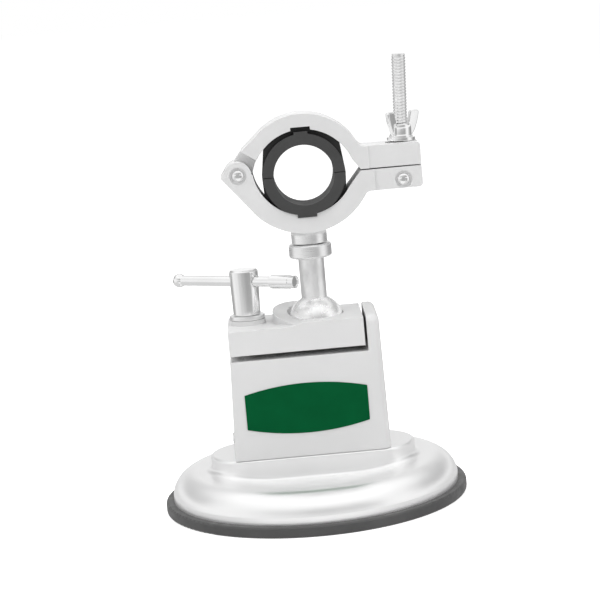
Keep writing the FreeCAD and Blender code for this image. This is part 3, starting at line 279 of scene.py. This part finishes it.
def scaled(tree, colour, level):
    return add(tree, "ShaderNodeVectorMath", {0: colour, "Scale": level}, operation="SCALE").outputs[0]


def tint(tree, colour, amount, factor):
    """Colour that grows lighter or darker with a factor from -1 to 1."""
    level = add(tree, "ShaderNodeMath", {0: factor, 1: amount, 2: 1.0}, operation="MULTIPLY_ADD").outputs[0]
    return scaled(tree, colour, level)


def edge_mask(tree, radius, low=0.80, high=0.985):
    """1 on convex and concave edges, 0 on open faces."""
    soft = add(tree, "ShaderNodeBevel", {"Radius": radius}, samples=4).outputs["Normal"]
    plain = add(tree, "ShaderNodeNewGeometry").outputs["Normal"]
    match = add(tree, "ShaderNodeVectorMath", {0: soft, 1: plain}, operation="DOT_PRODUCT").outputs["Value"]
    return spread(tree, match, 1.0, 0.0, low, high)


def painted_gap_shade(tree, colour, reach, floor, start, end):
    """Painted shade: colour that darkens down to a floor where a narrow gap closes it in."""
    open_share = add(tree, "ShaderNodeAmbientOcclusion", {"Distance": reach}, samples=8).outputs["AO"]
    return scaled(tree, colour, spread(tree, open_share, floor, 1.0, start, end))


def bump(tree, height, distance, strength):
    return add(tree, "ShaderNodeBump", {
        "Height": height, "Distance": distance, "Strength": strength}).outputs["Normal"]


def grey_ramp(tree, value, stops):
    """Level by a share from 0 to 1, eased between stops of (share, level)."""
    ramp = add(tree, "ShaderNodeValToRGB", {"Fac": value})
    ramp.color_ramp.interpolation = "EASE"
    steps = ramp.color_ramp.elements
    for place, level in stops[2:]:
        steps.new(place)
    for step, (place, level) in zip(steps, stops):
        step.position = place
        step.color = (level, level, level, 1)
    return ramp.outputs["Color"]


def around_vise(tree, place, stops):
    """Level by the bearing of a place, from stops in degrees."""
    parts = add(tree, "ShaderNodeSeparateXYZ", {"Vector": place})
    forward = product(tree, parts.outputs["Y"], -1.0)
    turn = add(tree, "ShaderNodeMath", {0: parts.outputs["X"], 1: forward}, operation="ARCTAN2").outputs[0]
    share = add(tree, "ShaderNodeMapRange", {"Value": turn, "From Min": -math.pi, "From Max": math.pi})
    return grey_ramp(tree, share.outputs["Result"], [((angle + 180) / 360, level) for angle, level in stops])


def room(tree, place):
    """Brightness of the studio that metal mirrors: dim in front, lit from the right, bright above."""
    around = around_vise(tree, place, ROOM)
    high = add(tree, "ShaderNodeVectorMath", {0: place}, operation="NORMALIZE").outputs["Vector"]
    high = add(tree, "ShaderNodeSeparateXYZ", {"Vector": high}).outputs["Z"]
    lift = add(tree, "ShaderNodeMapRange", {
        "Value": high, "From Min": -1.0, "From Max": 1.0}).outputs["Result"]
    return between(tree, grey_ramp(tree, lift, HEIGHT), around, grey_ramp(tree, lift, ABOVE))


def by_height(tree, start, end):
    """0 on the start height's side and 1 on the end height's side."""
    place = add(tree, "ShaderNodeTexCoord").outputs["Object"]
    height = add(tree, "ShaderNodeSeparateXYZ", {"Vector": place}).outputs["Z"]
    return add(tree, "ShaderNodeMapRange", {
        "Value": height, "From Min": start, "From Max": end}).outputs["Result"]


def paint(tree):
    """Sprayed light grey: faint orange peel, with painted light that makes it paler at the foot, paler edges in
    patches that are partly wear and partly painted highlight, and painted shade in narrow gaps.
    """
    base = tint(tree, tuple(finishes().paint), 0.025, spread(tree, noise(tree, 28, 3), -1, 1))
    # Painted light: lighter towards the foot
    base = tint(tree, base, 0.06, by_height(tree, *PAINTED_LIGHT_FOOT))
    # Paler edges in patches: partly wear, partly painted highlight
    wear_and_highlight = product(tree, edge_mask(tree, 0.5 * MM), spread(tree, noise(tree, 320, 3), 0, 1))
    base = mixed(tree, wear_and_highlight, base, WORN_AND_HIGHLIT_PAINT)
    # Painted shade in narrow gaps
    base = painted_gap_shade(tree, base, 5 * MM, 0.04, 0.02, 0.18)
    peel = bump(tree, noise(tree, 900, 2), 0.02 * MM, 0.5)
    rough = spread(tree, noise(tree, 160, 2), 0.40, 0.52)
    return add(tree, "ShaderNodeBsdfPrincipled", {"Base Color": base, "Roughness": rough, "Normal": peel,
                                                  "Specular IOR Level": 0.4})


def blasted(tree):
    """Bead-blasted cast metal: matt, with a fine grain, a painted highlight along its edges and painted shade in
    narrow gaps, and turned bright on its boss.
    """
    base = tint(tree, tuple(finishes().ring), 0.03, spread(tree, noise(tree, 60, 4), -1, 1))
    # Painted highlight along the edges
    base = mixed(tree, product(tree, edge_mask(tree, 0.5 * MM), 0.55), base, HIGHLIT_CAST_EDGE)
    # Painted shade in narrow gaps
    base = painted_gap_shade(tree, base, 3 * MM, 0.04, 0.03, 0.22)
    grain = bump(tree, noise(tree, 2600, 2), 0.03 * MM, 0.7)
    rough = spread(tree, noise(tree, 420, 2), 0.48, 0.62)
    cast = add(tree, "ShaderNodeBsdfPrincipled", {"Base Color": base, "Roughness": rough, "Normal": grain,
                                                  "Metallic": 0.12})
    turned = turned_steel(tree)
    return add(tree, "ShaderNodeMixShader", {
        0: by_height(tree, *MACHINED_BOSS), 1: cast.outputs[0], 2: turned.outputs[0]})


def satin(tree):
    """Satin plating: wide soft reflections, hardly broken."""
    base = tint(tree, tuple(finishes().dome), 0.02, spread(tree, noise(tree, 35, 3), -1, 1))
    rough = spread(tree, noise(tree, 90, 3), 0.29, 0.35)
    return add(tree, "ShaderNodeBsdfPrincipled", {"Base Color": base, "Roughness": rough, "Metallic": 0.84,
                                                  "Normal": bump(tree, noise(tree, 26, 2), 0.06 * MM, 0.2)})


def polished(tree, stretch=(1, 1, 0.05)):
    """Bright steel with fine marks along its length."""
    base = tint(tree, tuple(finishes().steel), 0.02, spread(tree, noise(tree, 90, 2), -1, 1))
    rough = spread(tree, noise(tree, 900, 2, stretch), 0.08, 0.17)
    marks = bump(tree, noise(tree, 110, 2), 0.05 * MM, 0.35)
    return add(tree, "ShaderNodeBsdfPrincipled", {"Base Color": base, "Roughness": rough, "Normal": marks,
                                                  "Metallic": 1.0})


def stud_steel(tree):
    """Worn bright ball under a neck that is only satin."""
    base = tint(tree, tuple(finishes().steel), 0.13, spread(tree, noise(tree, 210, 3, (1, 1, 0.6)), -1, 1))
    neck = by_height(tree, *NECK_FOOT)
    ball_rough = spread(tree, noise(tree, 200, 2), 0.24, 0.32)
    neck_rough = spread(tree, noise(tree, 260, 3, (1, 1, 0.3)), 0.32, 0.46)
    return add(tree, "ShaderNodeBsdfPrincipled", {
        "Base Color": base, "Roughness": between(tree, neck, ball_rough, neck_rough),
        "Metallic": spread(tree, neck, 0.72, 1.0, 0.0, 1.0),
        "Normal": bump(tree, noise(tree, 190, 1), 0.16 * MM, 0.3)})


def threaded(tree):
    """Rolled thread: dull steel."""
    base = tint(tree, tuple(finishes().thread), 0.05, spread(tree, noise(tree, 200, 2), -1, 1))
    return add(tree, "ShaderNodeBsdfPrincipled", {
        "Base Color": base, "Roughness": spread(tree, noise(tree, 900, 2), 0.26, 0.36), "Metallic": 1.0})


def turned_steel(tree):
    """Lathe-turned ring: satin, with fine marks round it."""
    base = tint(tree, tuple(finishes().steel), 0.04, spread(tree, noise(tree, 120, 2), -1, 1))
    lines = noise(tree, 3000, 1, (0.04, 0.04, 1))
    return add(tree, "ShaderNodeBsdfPrincipled", {
        "Base Color": base, "Roughness": spread(tree, lines, 0.26, 0.36), "Metallic": 1.0,
        "Normal": bump(tree, lines, 0.02 * MM, 0.12)})


def rubber(tree):
    """Dark moulded rubber with a soft shine and a little dust."""
    dust = spread(tree, noise(tree, 45, 5), 0, 1, 0.45, 0.75)
    dusty = (*(level * 1.25 for level in finishes().rubber), 1)
    base = mixed(tree, dust, (*finishes().rubber, 1), dusty)
    return add(tree, "ShaderNodeBsdfPrincipled", {
        "Base Color": base, "Roughness": spread(tree, noise(tree, 200, 3), 0.38, 0.55),
        "Normal": bump(tree, noise(tree, 1500, 2), 0.02 * MM, 0.5), "Specular IOR Level": 0.45})


def moulded(tree, colour, grain=1800):
    """Matt moulded plastic with a spark-eroded grain, a painted highlight along its edges and painted shade in
    narrow gaps.
    """
    base = tint(tree, tuple(colour), 0.07, spread(tree, noise(tree, 80, 3), -1, 1))
    # Painted highlight along the edges
    pale = (*(min(1.0, level * 1.5 + 0.01) for level in colour), 1)
    base = mixed(tree, product(tree, edge_mask(tree, 0.3 * MM), 0.5), base, pale)
    # Painted shade in narrow gaps and recesses
    base = painted_gap_shade(tree, base, 2.5 * MM, 0.05, 0.35, 0.8)
    return add(tree, "ShaderNodeBsdfPrincipled", {
        "Base Color": base, "Roughness": spread(tree, noise(tree, 300, 2), 0.5, 0.64),
        "Normal": bump(tree, noise(tree, grain, 2), 0.03 * MM, 0.6), "Specular IOR Level": 0.3})


def enamel(tree):
    """Label: matt printed green."""
    base = tint(tree, tuple(finishes().label), 0.06, spread(tree, noise(tree, 120, 3), -1, 1))
    return add(tree, "ShaderNodeBsdfPrincipled", {
        "Base Color": base, "Roughness": 0.55, "Specular IOR Level": 0.02,
        "Normal": bump(tree, noise(tree, 700, 2), 0.01 * MM, 0.4)})


FINISH = {
    "paint": lambda: material("Sprayed paint", paint),
    "ring": lambda: material("Bead-blasted ring", blasted),
    "dome": lambda: material("Satin dome", satin),
    "steel": lambda: material("Polished steel", polished),
    "ball": lambda: material("Stud steel", stud_steel),
    "thread": lambda: material("Threaded steel", threaded),
    "bar": lambda: material("Polished bar", lambda tree: polished(tree, (0.1, 0.1, 1))),
    "turned": lambda: material("Turned steel", turned_steel),
    "rubber": lambda: material("Rubber", rubber),
    "insert": lambda: material("Moulded insert", lambda tree: moulded(tree, finishes().insert)),
    "grip": lambda: material("Lever grip", lambda tree: moulded(tree, finishes().grip, 2600)),
    "cup": lambda: material("Bearing cup", lambda tree: moulded(tree, CUP_COLOUR)),
    "label": lambda: material("Label enamel", enamel),
}


# Meshes

def smooth_group():
    """Geometry nodes that shade a mesh smooth, except across its sharp edges."""
    known = bpy.data.node_groups.get("Smooth by angle")
    if known:
        return known
    group = bpy.data.node_groups.new("Smooth by angle", "GeometryNodeTree")
    group.interface.new_socket("Geometry", in_out="INPUT", socket_type="NodeSocketGeometry")
    group.interface.new_socket("Geometry", in_out="OUTPUT", socket_type="NodeSocketGeometry")
    start = group.nodes.new("NodeGroupInput")
    end = group.nodes.new("NodeGroupOutput")
    plain = add(group, "GeometryNodeRemoveAttribute", {"Geometry": start.outputs[0], "Name": "custom_normal"})
    faces = add(group, "GeometryNodeSetShadeSmooth", {"Geometry": plain.outputs[0], "Shade Smooth": True},
                domain="FACE")
    angle = add(group, "GeometryNodeInputMeshEdgeAngle").outputs["Unsigned Angle"]
    sharp = add(group, "FunctionNodeCompare", {"A": angle, "B": SHARP}, data_type="FLOAT",
                operation="GREATER_THAN").outputs["Result"]
    edges = add(group, "GeometryNodeSetShadeSmooth", {
        "Geometry": faces.outputs[0], "Selection": sharp, "Shade Smooth": False}, domain="EDGE")
    group.links.new(edges.outputs[0], end.inputs[0])
    return group


def ease(piece, width, steps=2):
    """Round a solid's sharp edges and shade it, with modifiers only."""
    weld = piece.modifiers.new("Weld", "WELD")
    weld.merge_threshold = JOINED
    if width:
        flat = piece.modifiers.new("Flat faces", "DECIMATE")
        flat.decimate_type = "DISSOLVE"
        flat.angle_limit = ONE_PLANE
        soft = piece.modifiers.new("Rounding", "BEVEL")
        soft.width = width
        soft.segments = steps
        soft.limit_method = "ANGLE"
        soft.angle_limit = ROUNDED
        soft.harden_normals = False
        soft.miter_outer = "MITER_ARC"
    shade = piece.modifiers.new("Shading", "NODES")
    shade.node_group = smooth_group()
    weigh = piece.modifiers.new("Normals", "WEIGHTED_NORMAL")
    weigh.keep_sharp = True
    return piece


def coat(node, finish):
    """Give a solid its finish and keep its own shading."""
    piece = NODES[node]
    piece.data.materials.clear()
    piece.data.materials.append(FINISH[finish]())
    return piece


def dress(node, finish, width=None, steps=2):
    """Give a solid its finish and its rounded edges."""
    return ease(coat(node, finish), sizes().edge_round if width is None else width, steps)


def piece_from(name, mesh, node, finish, matrix=None):
    """A new piece that stands for a solid and moves with its body."""
    if matrix:
        mesh.transform(matrix)
        mesh.update()
    piece = bpy.data.objects.new(name, mesh)
    bpy.context.scene.collection.objects.link(piece)
    mesh.materials.append(FINISH[finish]())
    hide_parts(node)
    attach(piece, BODY_OF[node])
    return piece


def lathe(outline, steps):
    """Mesh turned about Z from (radius, height) points. A radius of 0 closes it with a point."""
    work = bmesh.new()
    rings = []
    for radius, height in outline:
        if radius == 0:
            rings.append([work.verts.new((0, 0, height))])
        else:
            rings.append([work.verts.new((radius * math.cos(math.tau * k / steps),
                                          radius * math.sin(math.tau * k / steps), height))
                          for k in range(steps)])
    for low, high in zip(rings, rings[1:]):
        for k in range(steps):
            j = (k + 1) % steps
            if len(low) == 1:
                work.faces.new((low[0], high[k], high[j]))
            elif len(high) == 1:
                work.faces.new((low[k], low[j], high[0]))
            else:
                work.faces.new((low[k], low[j], high[j], high[k]))
    bmesh.ops.recalc_face_normals(work, faces=work.faces)
    mesh = bpy.data.meshes.new("Turned")
    work.to_mesh(mesh)
    work.free()
    return mesh


def prism(outline, low, high):
    """Mesh of an (x, z) outline between two depths along Y."""
    work = bmesh.new()
    front = [work.verts.new((x, low, z)) for x, z in outline]
    back = [work.verts.new((x, high, z)) for x, z in outline]
    work.faces.new(front)
    work.faces.new(list(reversed(back)))
    count = len(outline)
    for k in range(count):
        j = (k + 1) % count
        work.faces.new((front[j], front[k], back[k], back[j]))
    bmesh.ops.recalc_face_normals(work, faces=work.faces)
    mesh = bpy.data.meshes.new("Prism")
    work.to_mesh(mesh)
    work.free()
    return mesh


def circle(radius, steps):
    """Points of a circle, for a prism."""
    return [(radius * math.cos(math.tau * k / steps), radius * math.sin(math.tau * k / steps))
            for k in range(steps)]


def holder_of(mesh):
    """A passing object that carries a mesh while its modifiers are worked out."""
    holder = bpy.data.objects.new("Work", mesh)
    bpy.context.scene.collection.objects.link(holder)
    return holder


def worked_out(holder):
    """The mesh that a passing object's modifiers give. The object goes."""
    bpy.context.view_layer.update()
    mesh = bpy.data.meshes.new_from_object(holder.evaluated_get(bpy.context.evaluated_depsgraph_get()))
    bpy.data.objects.remove(holder)
    return mesh


def joined(meshes, name):
    """One mesh of several."""
    work = bmesh.new()
    for mesh in meshes:
        work.from_mesh(mesh)
    whole = bpy.data.meshes.new(name)
    work.to_mesh(whole)
    work.free()
    return whole


def cut(mesh, tool):
    """Mesh with another one's shape cut out of it."""
    base = holder_of(mesh)
    blade = holder_of(tool)
    step = base.modifiers.new("Cut", "BOOLEAN")
    step.operation = "DIFFERENCE"
    step.solver = "EXACT"
    step.object = blade
    done = worked_out(base)
    bpy.data.objects.remove(blade)
    return done


def thread_mesh(radius, depth, pitch, bottom, top, steps):
    """Threaded rod: one helical ridge, with the ends closed and the last turns fading out."""
    work = bmesh.new()
    per_turn = 6
    ridge = [0.0, 0.35, 1.0, 1.0, 0.35, 0.0]
    rows = int((top - bottom) / pitch * per_turn)
    fade = 1.2 * pitch
    grid = []
    for row in range(rows + 1):
        height = bottom + (top - bottom) * row / rows
        ring = []
        for k in range(steps):
            phase = ((height - bottom) / pitch - k / steps) % 1.0 * per_turn
            low = int(phase) % per_turn
            share = ridge[low] + (ridge[(low + 1) % per_turn] - ridge[low]) * (phase - int(phase))
            end = min(1.0, (top - height) / fade)
            reach = radius - depth * (1.0 - share * end)
            angle = math.tau * k / steps
            ring.append(work.verts.new((reach * math.cos(angle), reach * math.sin(angle), height)))
        grid.append(ring)
    for low, high in zip(grid, grid[1:]):
        for k in range(steps):
            j = (k + 1) % steps
            work.faces.new((low[k], low[j], high[j], high[k]))
    work.faces.new(list(reversed(grid[0])))
    work.faces.new(grid[-1])
    mesh = bpy.data.meshes.new("Thread")
    work.to_mesh(mesh)
    work.free()
    return mesh


def along_bolt():
    """Frame whose origin is the bolt's pivot and whose Z runs up the bolt."""
    axis = Vector(JOINTS["nut_back_off"]["axis"]).normalized()
    side = Vector((0, 1, 0))
    matrix = Matrix((side.cross(axis), side, axis)).transposed().to_4x4()
    matrix.translation = Vector(JOINTS["bolt_swing"]["pos_m"])
    return matrix


# Pieces

class VISE_OT_stage(bpy.types.Operator):
    """Floor, softboxes, world and camera"""
    bl_idname = "vise.stage"
    bl_label = "Set the stage"

    def execute(self, context):
        scene = context.scene
        scene.view_settings.view_transform = "Standard"
        self.place_floor()
        self.light_world(scene)
        for name, place, size, share in SOFTBOXES:
            lamp = bpy.data.lights.new(name, "AREA")
            lamp.size = size
            lamp.energy = studio().key * share
            holder = bpy.data.objects.new(name, lamp)
            scene.collection.objects.link(holder)
            holder.visible_glossy = False
            holder.location = place
            aim = SOFTBOX_AIM - holder.location
            holder.rotation_euler = aim.to_track_quat("-Z", "Y").to_euler()
        self.place_camera(scene)
        return {"FINISHED"}

    def place_floor(self):
        mesh = bpy.data.meshes.new("Floor")
        corners = [(x * FLOOR_REACH, y * FLOOR_REACH, 0) for x, y in ((-1, -1), (1, -1), (1, 1), (-1, 1))]
        mesh.from_pydata(corners, [], [(0, 1, 2, 3)])
        floor = bpy.data.objects.new("Floor", mesh)
        bpy.context.scene.collection.objects.link(floor)

        def card(tree):
            """Pale floor that takes a shadow, and the studio's light where metal mirrors it."""
            path = add(tree, "ShaderNodeLightPath")
            glow = product(tree, path.outputs["Is Camera Ray"], FLOOR_GLOW)
            lit = add(tree, "ShaderNodeBsdfDiffuse", {"Color": FLOOR_GREY})
            shine = add(tree, "ShaderNodeEmission", {"Color": WHITE, "Strength": glow})
            plain = add(tree, "ShaderNodeAddShader", {0: lit.outputs[0], 1: shine.outputs[0]})
            place = add(tree, "ShaderNodeTexCoord").outputs["Object"]
            far = add(tree, "ShaderNodeVectorMath", {0: place}, operation="LENGTH").outputs["Value"]
            far = add(tree, "ShaderNodeMapRange", {
                "Value": far, "From Min": FLOOR_NEAR, "From Max": FLOOR_FAR},
                interpolation_type="SMOOTHSTEP").outputs["Result"]
            level = between(tree, far, around_vise(tree, place, NEAR), room(tree, place))
            mirrored = add(tree, "ShaderNodeEmission", {"Color": WHITE, "Strength": level})
            return add(tree, "ShaderNodeMixShader", {
                0: path.outputs["Is Glossy Ray"], 1: plain.outputs[0], 2: mirrored.outputs[0]})

        mesh.materials.append(material("Pale floor", card))

    def light_world(self, scene):
        world = bpy.data.worlds.new("Studio")
        scene.world = world
        world.use_nodes = True
        tree = world.node_tree
        tree.nodes.clear()
        path = add(tree, "ShaderNodeLightPath")
        seen = add(tree, "ShaderNodeMath", {
            0: path.outputs["Is Camera Ray"], 1: path.outputs["Is Transmission Ray"]},
            operation="MAXIMUM").outputs[0]
        way = add(tree, "ShaderNodeTexCoord").outputs["Generated"]
        plain = between(tree, seen, studio().fill, 1.0)
        strength = between(tree, path.outputs["Is Glossy Ray"], plain, room(tree, way))
        glow = add(tree, "ShaderNodeBackground", {"Color": WHITE, "Strength": strength})
        add(tree, "ShaderNodeOutputWorld", {"Surface": glow.outputs[0]})

    def place_camera(self, scene):
        look = studio()
        turn, lift, roll = look.azimuth, look.elevation, look.roll
        back = Vector((math.sin(turn) * math.cos(lift), -math.cos(turn) * math.cos(lift), math.sin(lift)))
        right = Vector((math.cos(turn), math.sin(turn), 0))
        up = back.cross(right)
        across = right * math.cos(roll) + up * math.sin(roll)
        upward = up * math.cos(roll) - right * math.sin(roll)
        matrix = Matrix((across, upward, back)).transposed().to_4x4()
        matrix.translation = Vector(look.target) + back * look.distance
        lens = bpy.data.cameras.new("Camera")
        lens.lens = look.focal
        lens.sensor_width = 36.0
        camera = bpy.data.objects.new("Camera", lens)
        scene.collection.objects.link(camera)
        camera.matrix_world = matrix
        scene.camera = camera


class VISE_OT_base(bpy.types.Operator):
    """Rubber pad, domed cover and its screws"""
    bl_idname = "vise.base"
    bl_label = "Dress the base"

    def execute(self, context):
        dress("suction_pad", "rubber", width=0.0)
        coat("base_cover", "dome")
        dress("base_screws", "steel", width=0.15 * MM)
        dress("pull_stud", "steel", width=0.2 * MM)
        dress("release_spring", "steel", width=0.0)
        return {"FINISHED"}


class VISE_OT_body(bpy.types.Operator):
    """Painted body with its bare label"""
    bl_idname = "vise.body"
    bl_label = "Dress the body"

    def execute(self, context):
        dress("vise_body", "paint")
        dress("label_plate", "label", width=0.1 * MM)
        return {"FINISHED"}


class VISE_OT_cap(bpy.types.Operator):
    """Clamp cap with its hinge pin"""
    bl_idname = "vise.cap"
    bl_label = "Dress the cap"

    def execute(self, context):
        dress("clamp_cap", "paint", width=0.4 * MM)
        dress("cap_hinge_pin", "steel", width=0.2 * MM)
        return {"FINISHED"}


class VISE_OT_post(bpy.types.Operator):
    """Clamp screw with its washer and sliding bar"""
    bl_idname = "vise.post"
    bl_label = "Dress the post"

    def execute(self, context):
        dress("clamp_washer", "turned", width=0.25 * MM)
        dress("clamp_screw", "steel", width=0.2 * MM)
        dress("t_bar", "bar", width=0.1 * MM)
        dress("t_bar_cap", "bar", width=0.25 * MM)
        return {"FINISHED"}


class VISE_OT_joint(bpy.types.Operator):
    """Ball stud, its cup and the lock collar"""
    bl_idname = "vise.joint"
    bl_label = "Dress the ball joint"

    def execute(self, context):
        dress("ball_stud", "ball", width=0.2 * MM)
        dress("ball_seat", "cup", width=0.2 * MM)
        dress("lock_collar", "turned", width=0.2 * MM)
        return {"FINISHED"}


class VISE_OT_ring(bpy.types.Operator):
    """Both halves of the ring with their pivot screws and nuts"""
    bl_idname = "vise.ring"
    bl_label = "Dress the ring"

    def execute(self, context):
        dress("ring_lower", "ring", width=sizes().cast_round)
        dress("ring_upper", "ring", width=sizes().cast_round)
        dress("pivot_nuts", "steel", width=0.25 * MM)
        self.make_pivots()
        return {"FINISHED"}

    def make_pivots(self):
        """Two button-head screws with six-sided recesses, from their seats to the ends of their nuts."""
        screws = []
        for joint, seat, end in PIVOTS:
            across, _, height = JOINTS[joint]["pos_m"]
            outline = (*BUTTON, (SHANK_RADIUS, seat - end), (0, seat - end))
            screw = lathe([(r * MM, z * MM) for r, z in outline], 48)
            screw.transform(Matrix.Rotation(math.radians(90), 4, "X"))
            screw = cut(screw, prism(circle(RECESS_RADIUS, 6), RECESS_MOUTH, RECESS_FLOOR))
            screw.transform(Matrix.Translation((across, seat * MM, height)))
            screws.append(screw)
        mesh = joined(screws, "Pivot screws")
        ease(piece_from("Pivot_screws", mesh, "pivot_screws", "steel"), 0.0)


class VISE_OT_insert(bpy.types.Operator):
    """Two-piece moulded insert"""
    bl_idname = "vise.insert"
    bl_label = "Dress the insert"

    def execute(self, context):
        dress("insert_lower", "insert", width=0.0)
        dress("insert_upper", "insert", width=0.0)
        return {"FINISHED"}


class VISE_OT_bolt(bpy.types.Operator):
    """Swing bolt with a real thread, its washer and the wing nut"""
    bl_idname = "vise.bolt"
    bl_label = "Make the swing bolt"

    def execute(self, context):
        matrix = along_bolt()
        self.make_bolt(matrix)
        self.make_wing_nut(matrix)
        dress("nut_washer", "steel", width=0.2 * MM)
        return {"FINISHED"}

    def make_bolt(self, matrix):
        """Threaded rod up to the solid's top, on a pierced eye."""
        look = sizes()
        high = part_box("swing_bolt")[1]
        reach = (high - Vector(JOINTS["bolt_swing"]["pos_m"])).length
        top = math.sqrt(max(reach ** 2 - BOLT_RADIUS ** 2, 0)) - BOLT_END_GAP
        rod = thread_mesh(BOLT_RADIUS, look.thread_depth, look.thread_pitch, BOLT_FOOT, top, 48)
        eye = cut(prism(circle(EYE_RADIUS, 48), -EYE_HALF, EYE_HALF),
                  prism(circle(EYE_HOLE, 32), -EYE_CUT, EYE_CUT))
        mesh = joined((rod, eye), "Swing bolt")
        ease(piece_from("Swing_bolt", mesh, "swing_bolt", "thread", matrix), 0.0)

    def make_wing_nut(self, matrix):
        """Hollow hub with two wings, turned as the photograph shows them."""
        look = sizes()
        meshes = [lathe([(r * MM, NUT_FOOT + z * MM) for r, z in HUB], look.round_steps)]
        for side, turn in WING_TURNS:
            outline = [(side * x * MM, NUT_FOOT + z * MM) for x, z in WING]
            plate = self.wing(outline, look.wing_thickness / 2)
            plate.transform(Matrix.Rotation(math.radians(turn), 4, "Z"))
            meshes.append(plate)
        mesh = joined(meshes, "Wing nut")
        ease(piece_from("Wing_nut", mesh, "wing_nut", "steel", matrix), 0.0)

    def wing(self, outline, half):
        """One wing: a plate with rounded edges."""
        holder = holder_of(prism(outline, -half, half))
        soft = holder.modifiers.new("Rounding", "BEVEL")
        soft.width = half * 0.7
        soft.segments = 3
        soft.limit_method = "ANGLE"
        soft.angle_limit = math.radians(60)
        return worked_out(holder)


class VISE_OT_lever(bpy.types.Operator):
    """Suction lever at the back, with its shaft and grip"""
    bl_idname = "vise.lever"
    bl_label = "Dress the lever"

    def execute(self, context):
        dress("cam_shaft", "steel", width=0.2 * MM)
        dress("shaft_clip", "turned", width=0.1 * MM)
        dress("lever_arm", "steel", width=0.3 * MM)
        dress("lever_grip", "grip", width=1.2 * MM, steps=4)
        dress("lever_screw", "steel", width=0.3 * MM)
        return {"FINISHED"}


class VISE_PT_panel(bpy.types.Panel):
    """Steps of the vise, in order"""
    bl_idname = "VISE_PT_panel"
    bl_label = "Suction base vise"
    bl_space_type = "VIEW_3D"
    bl_region_type = "UI"
    bl_category = "Vise"

    def draw(self, context):
        for step in STEPS:
            self.layout.operator("vise." + step)
        for group in (context.scene.vise_sizes, context.scene.vise_finishes, context.scene.vise_studio):
            box = self.layout.box()
            for name in group.__annotations__:
                box.prop(group, name)


STEPS = ("stage", "base", "body", "cap", "post", "joint", "ring", "insert", "bolt", "lever")
CLASSES = (
    ViseSizes, ViseFinishes, ViseStudio, VISE_OT_stage, VISE_OT_base, VISE_OT_body, VISE_OT_cap, VISE_OT_post,
    VISE_OT_joint, VISE_OT_ring, VISE_OT_insert, VISE_OT_bolt, VISE_OT_lever, VISE_PT_panel,
)


def register():
    for item in CLASSES:
        bpy.utils.register_class(item)
    bpy.types.Scene.vise_sizes = PointerProperty(type=ViseSizes)
    bpy.types.Scene.vise_finishes = PointerProperty(type=ViseFinishes)
    bpy.types.Scene.vise_studio = PointerProperty(type=ViseStudio)


def unregister():
    del bpy.types.Scene.vise_studio
    del bpy.types.Scene.vise_finishes
    del bpy.types.Scene.vise_sizes
    for item in reversed(CLASSES):
        bpy.utils.unregister_class(item)


def main():
    register()
    for step in STEPS:
        getattr(bpy.ops.vise, step)()


if __name__ == "__main__":
    main()
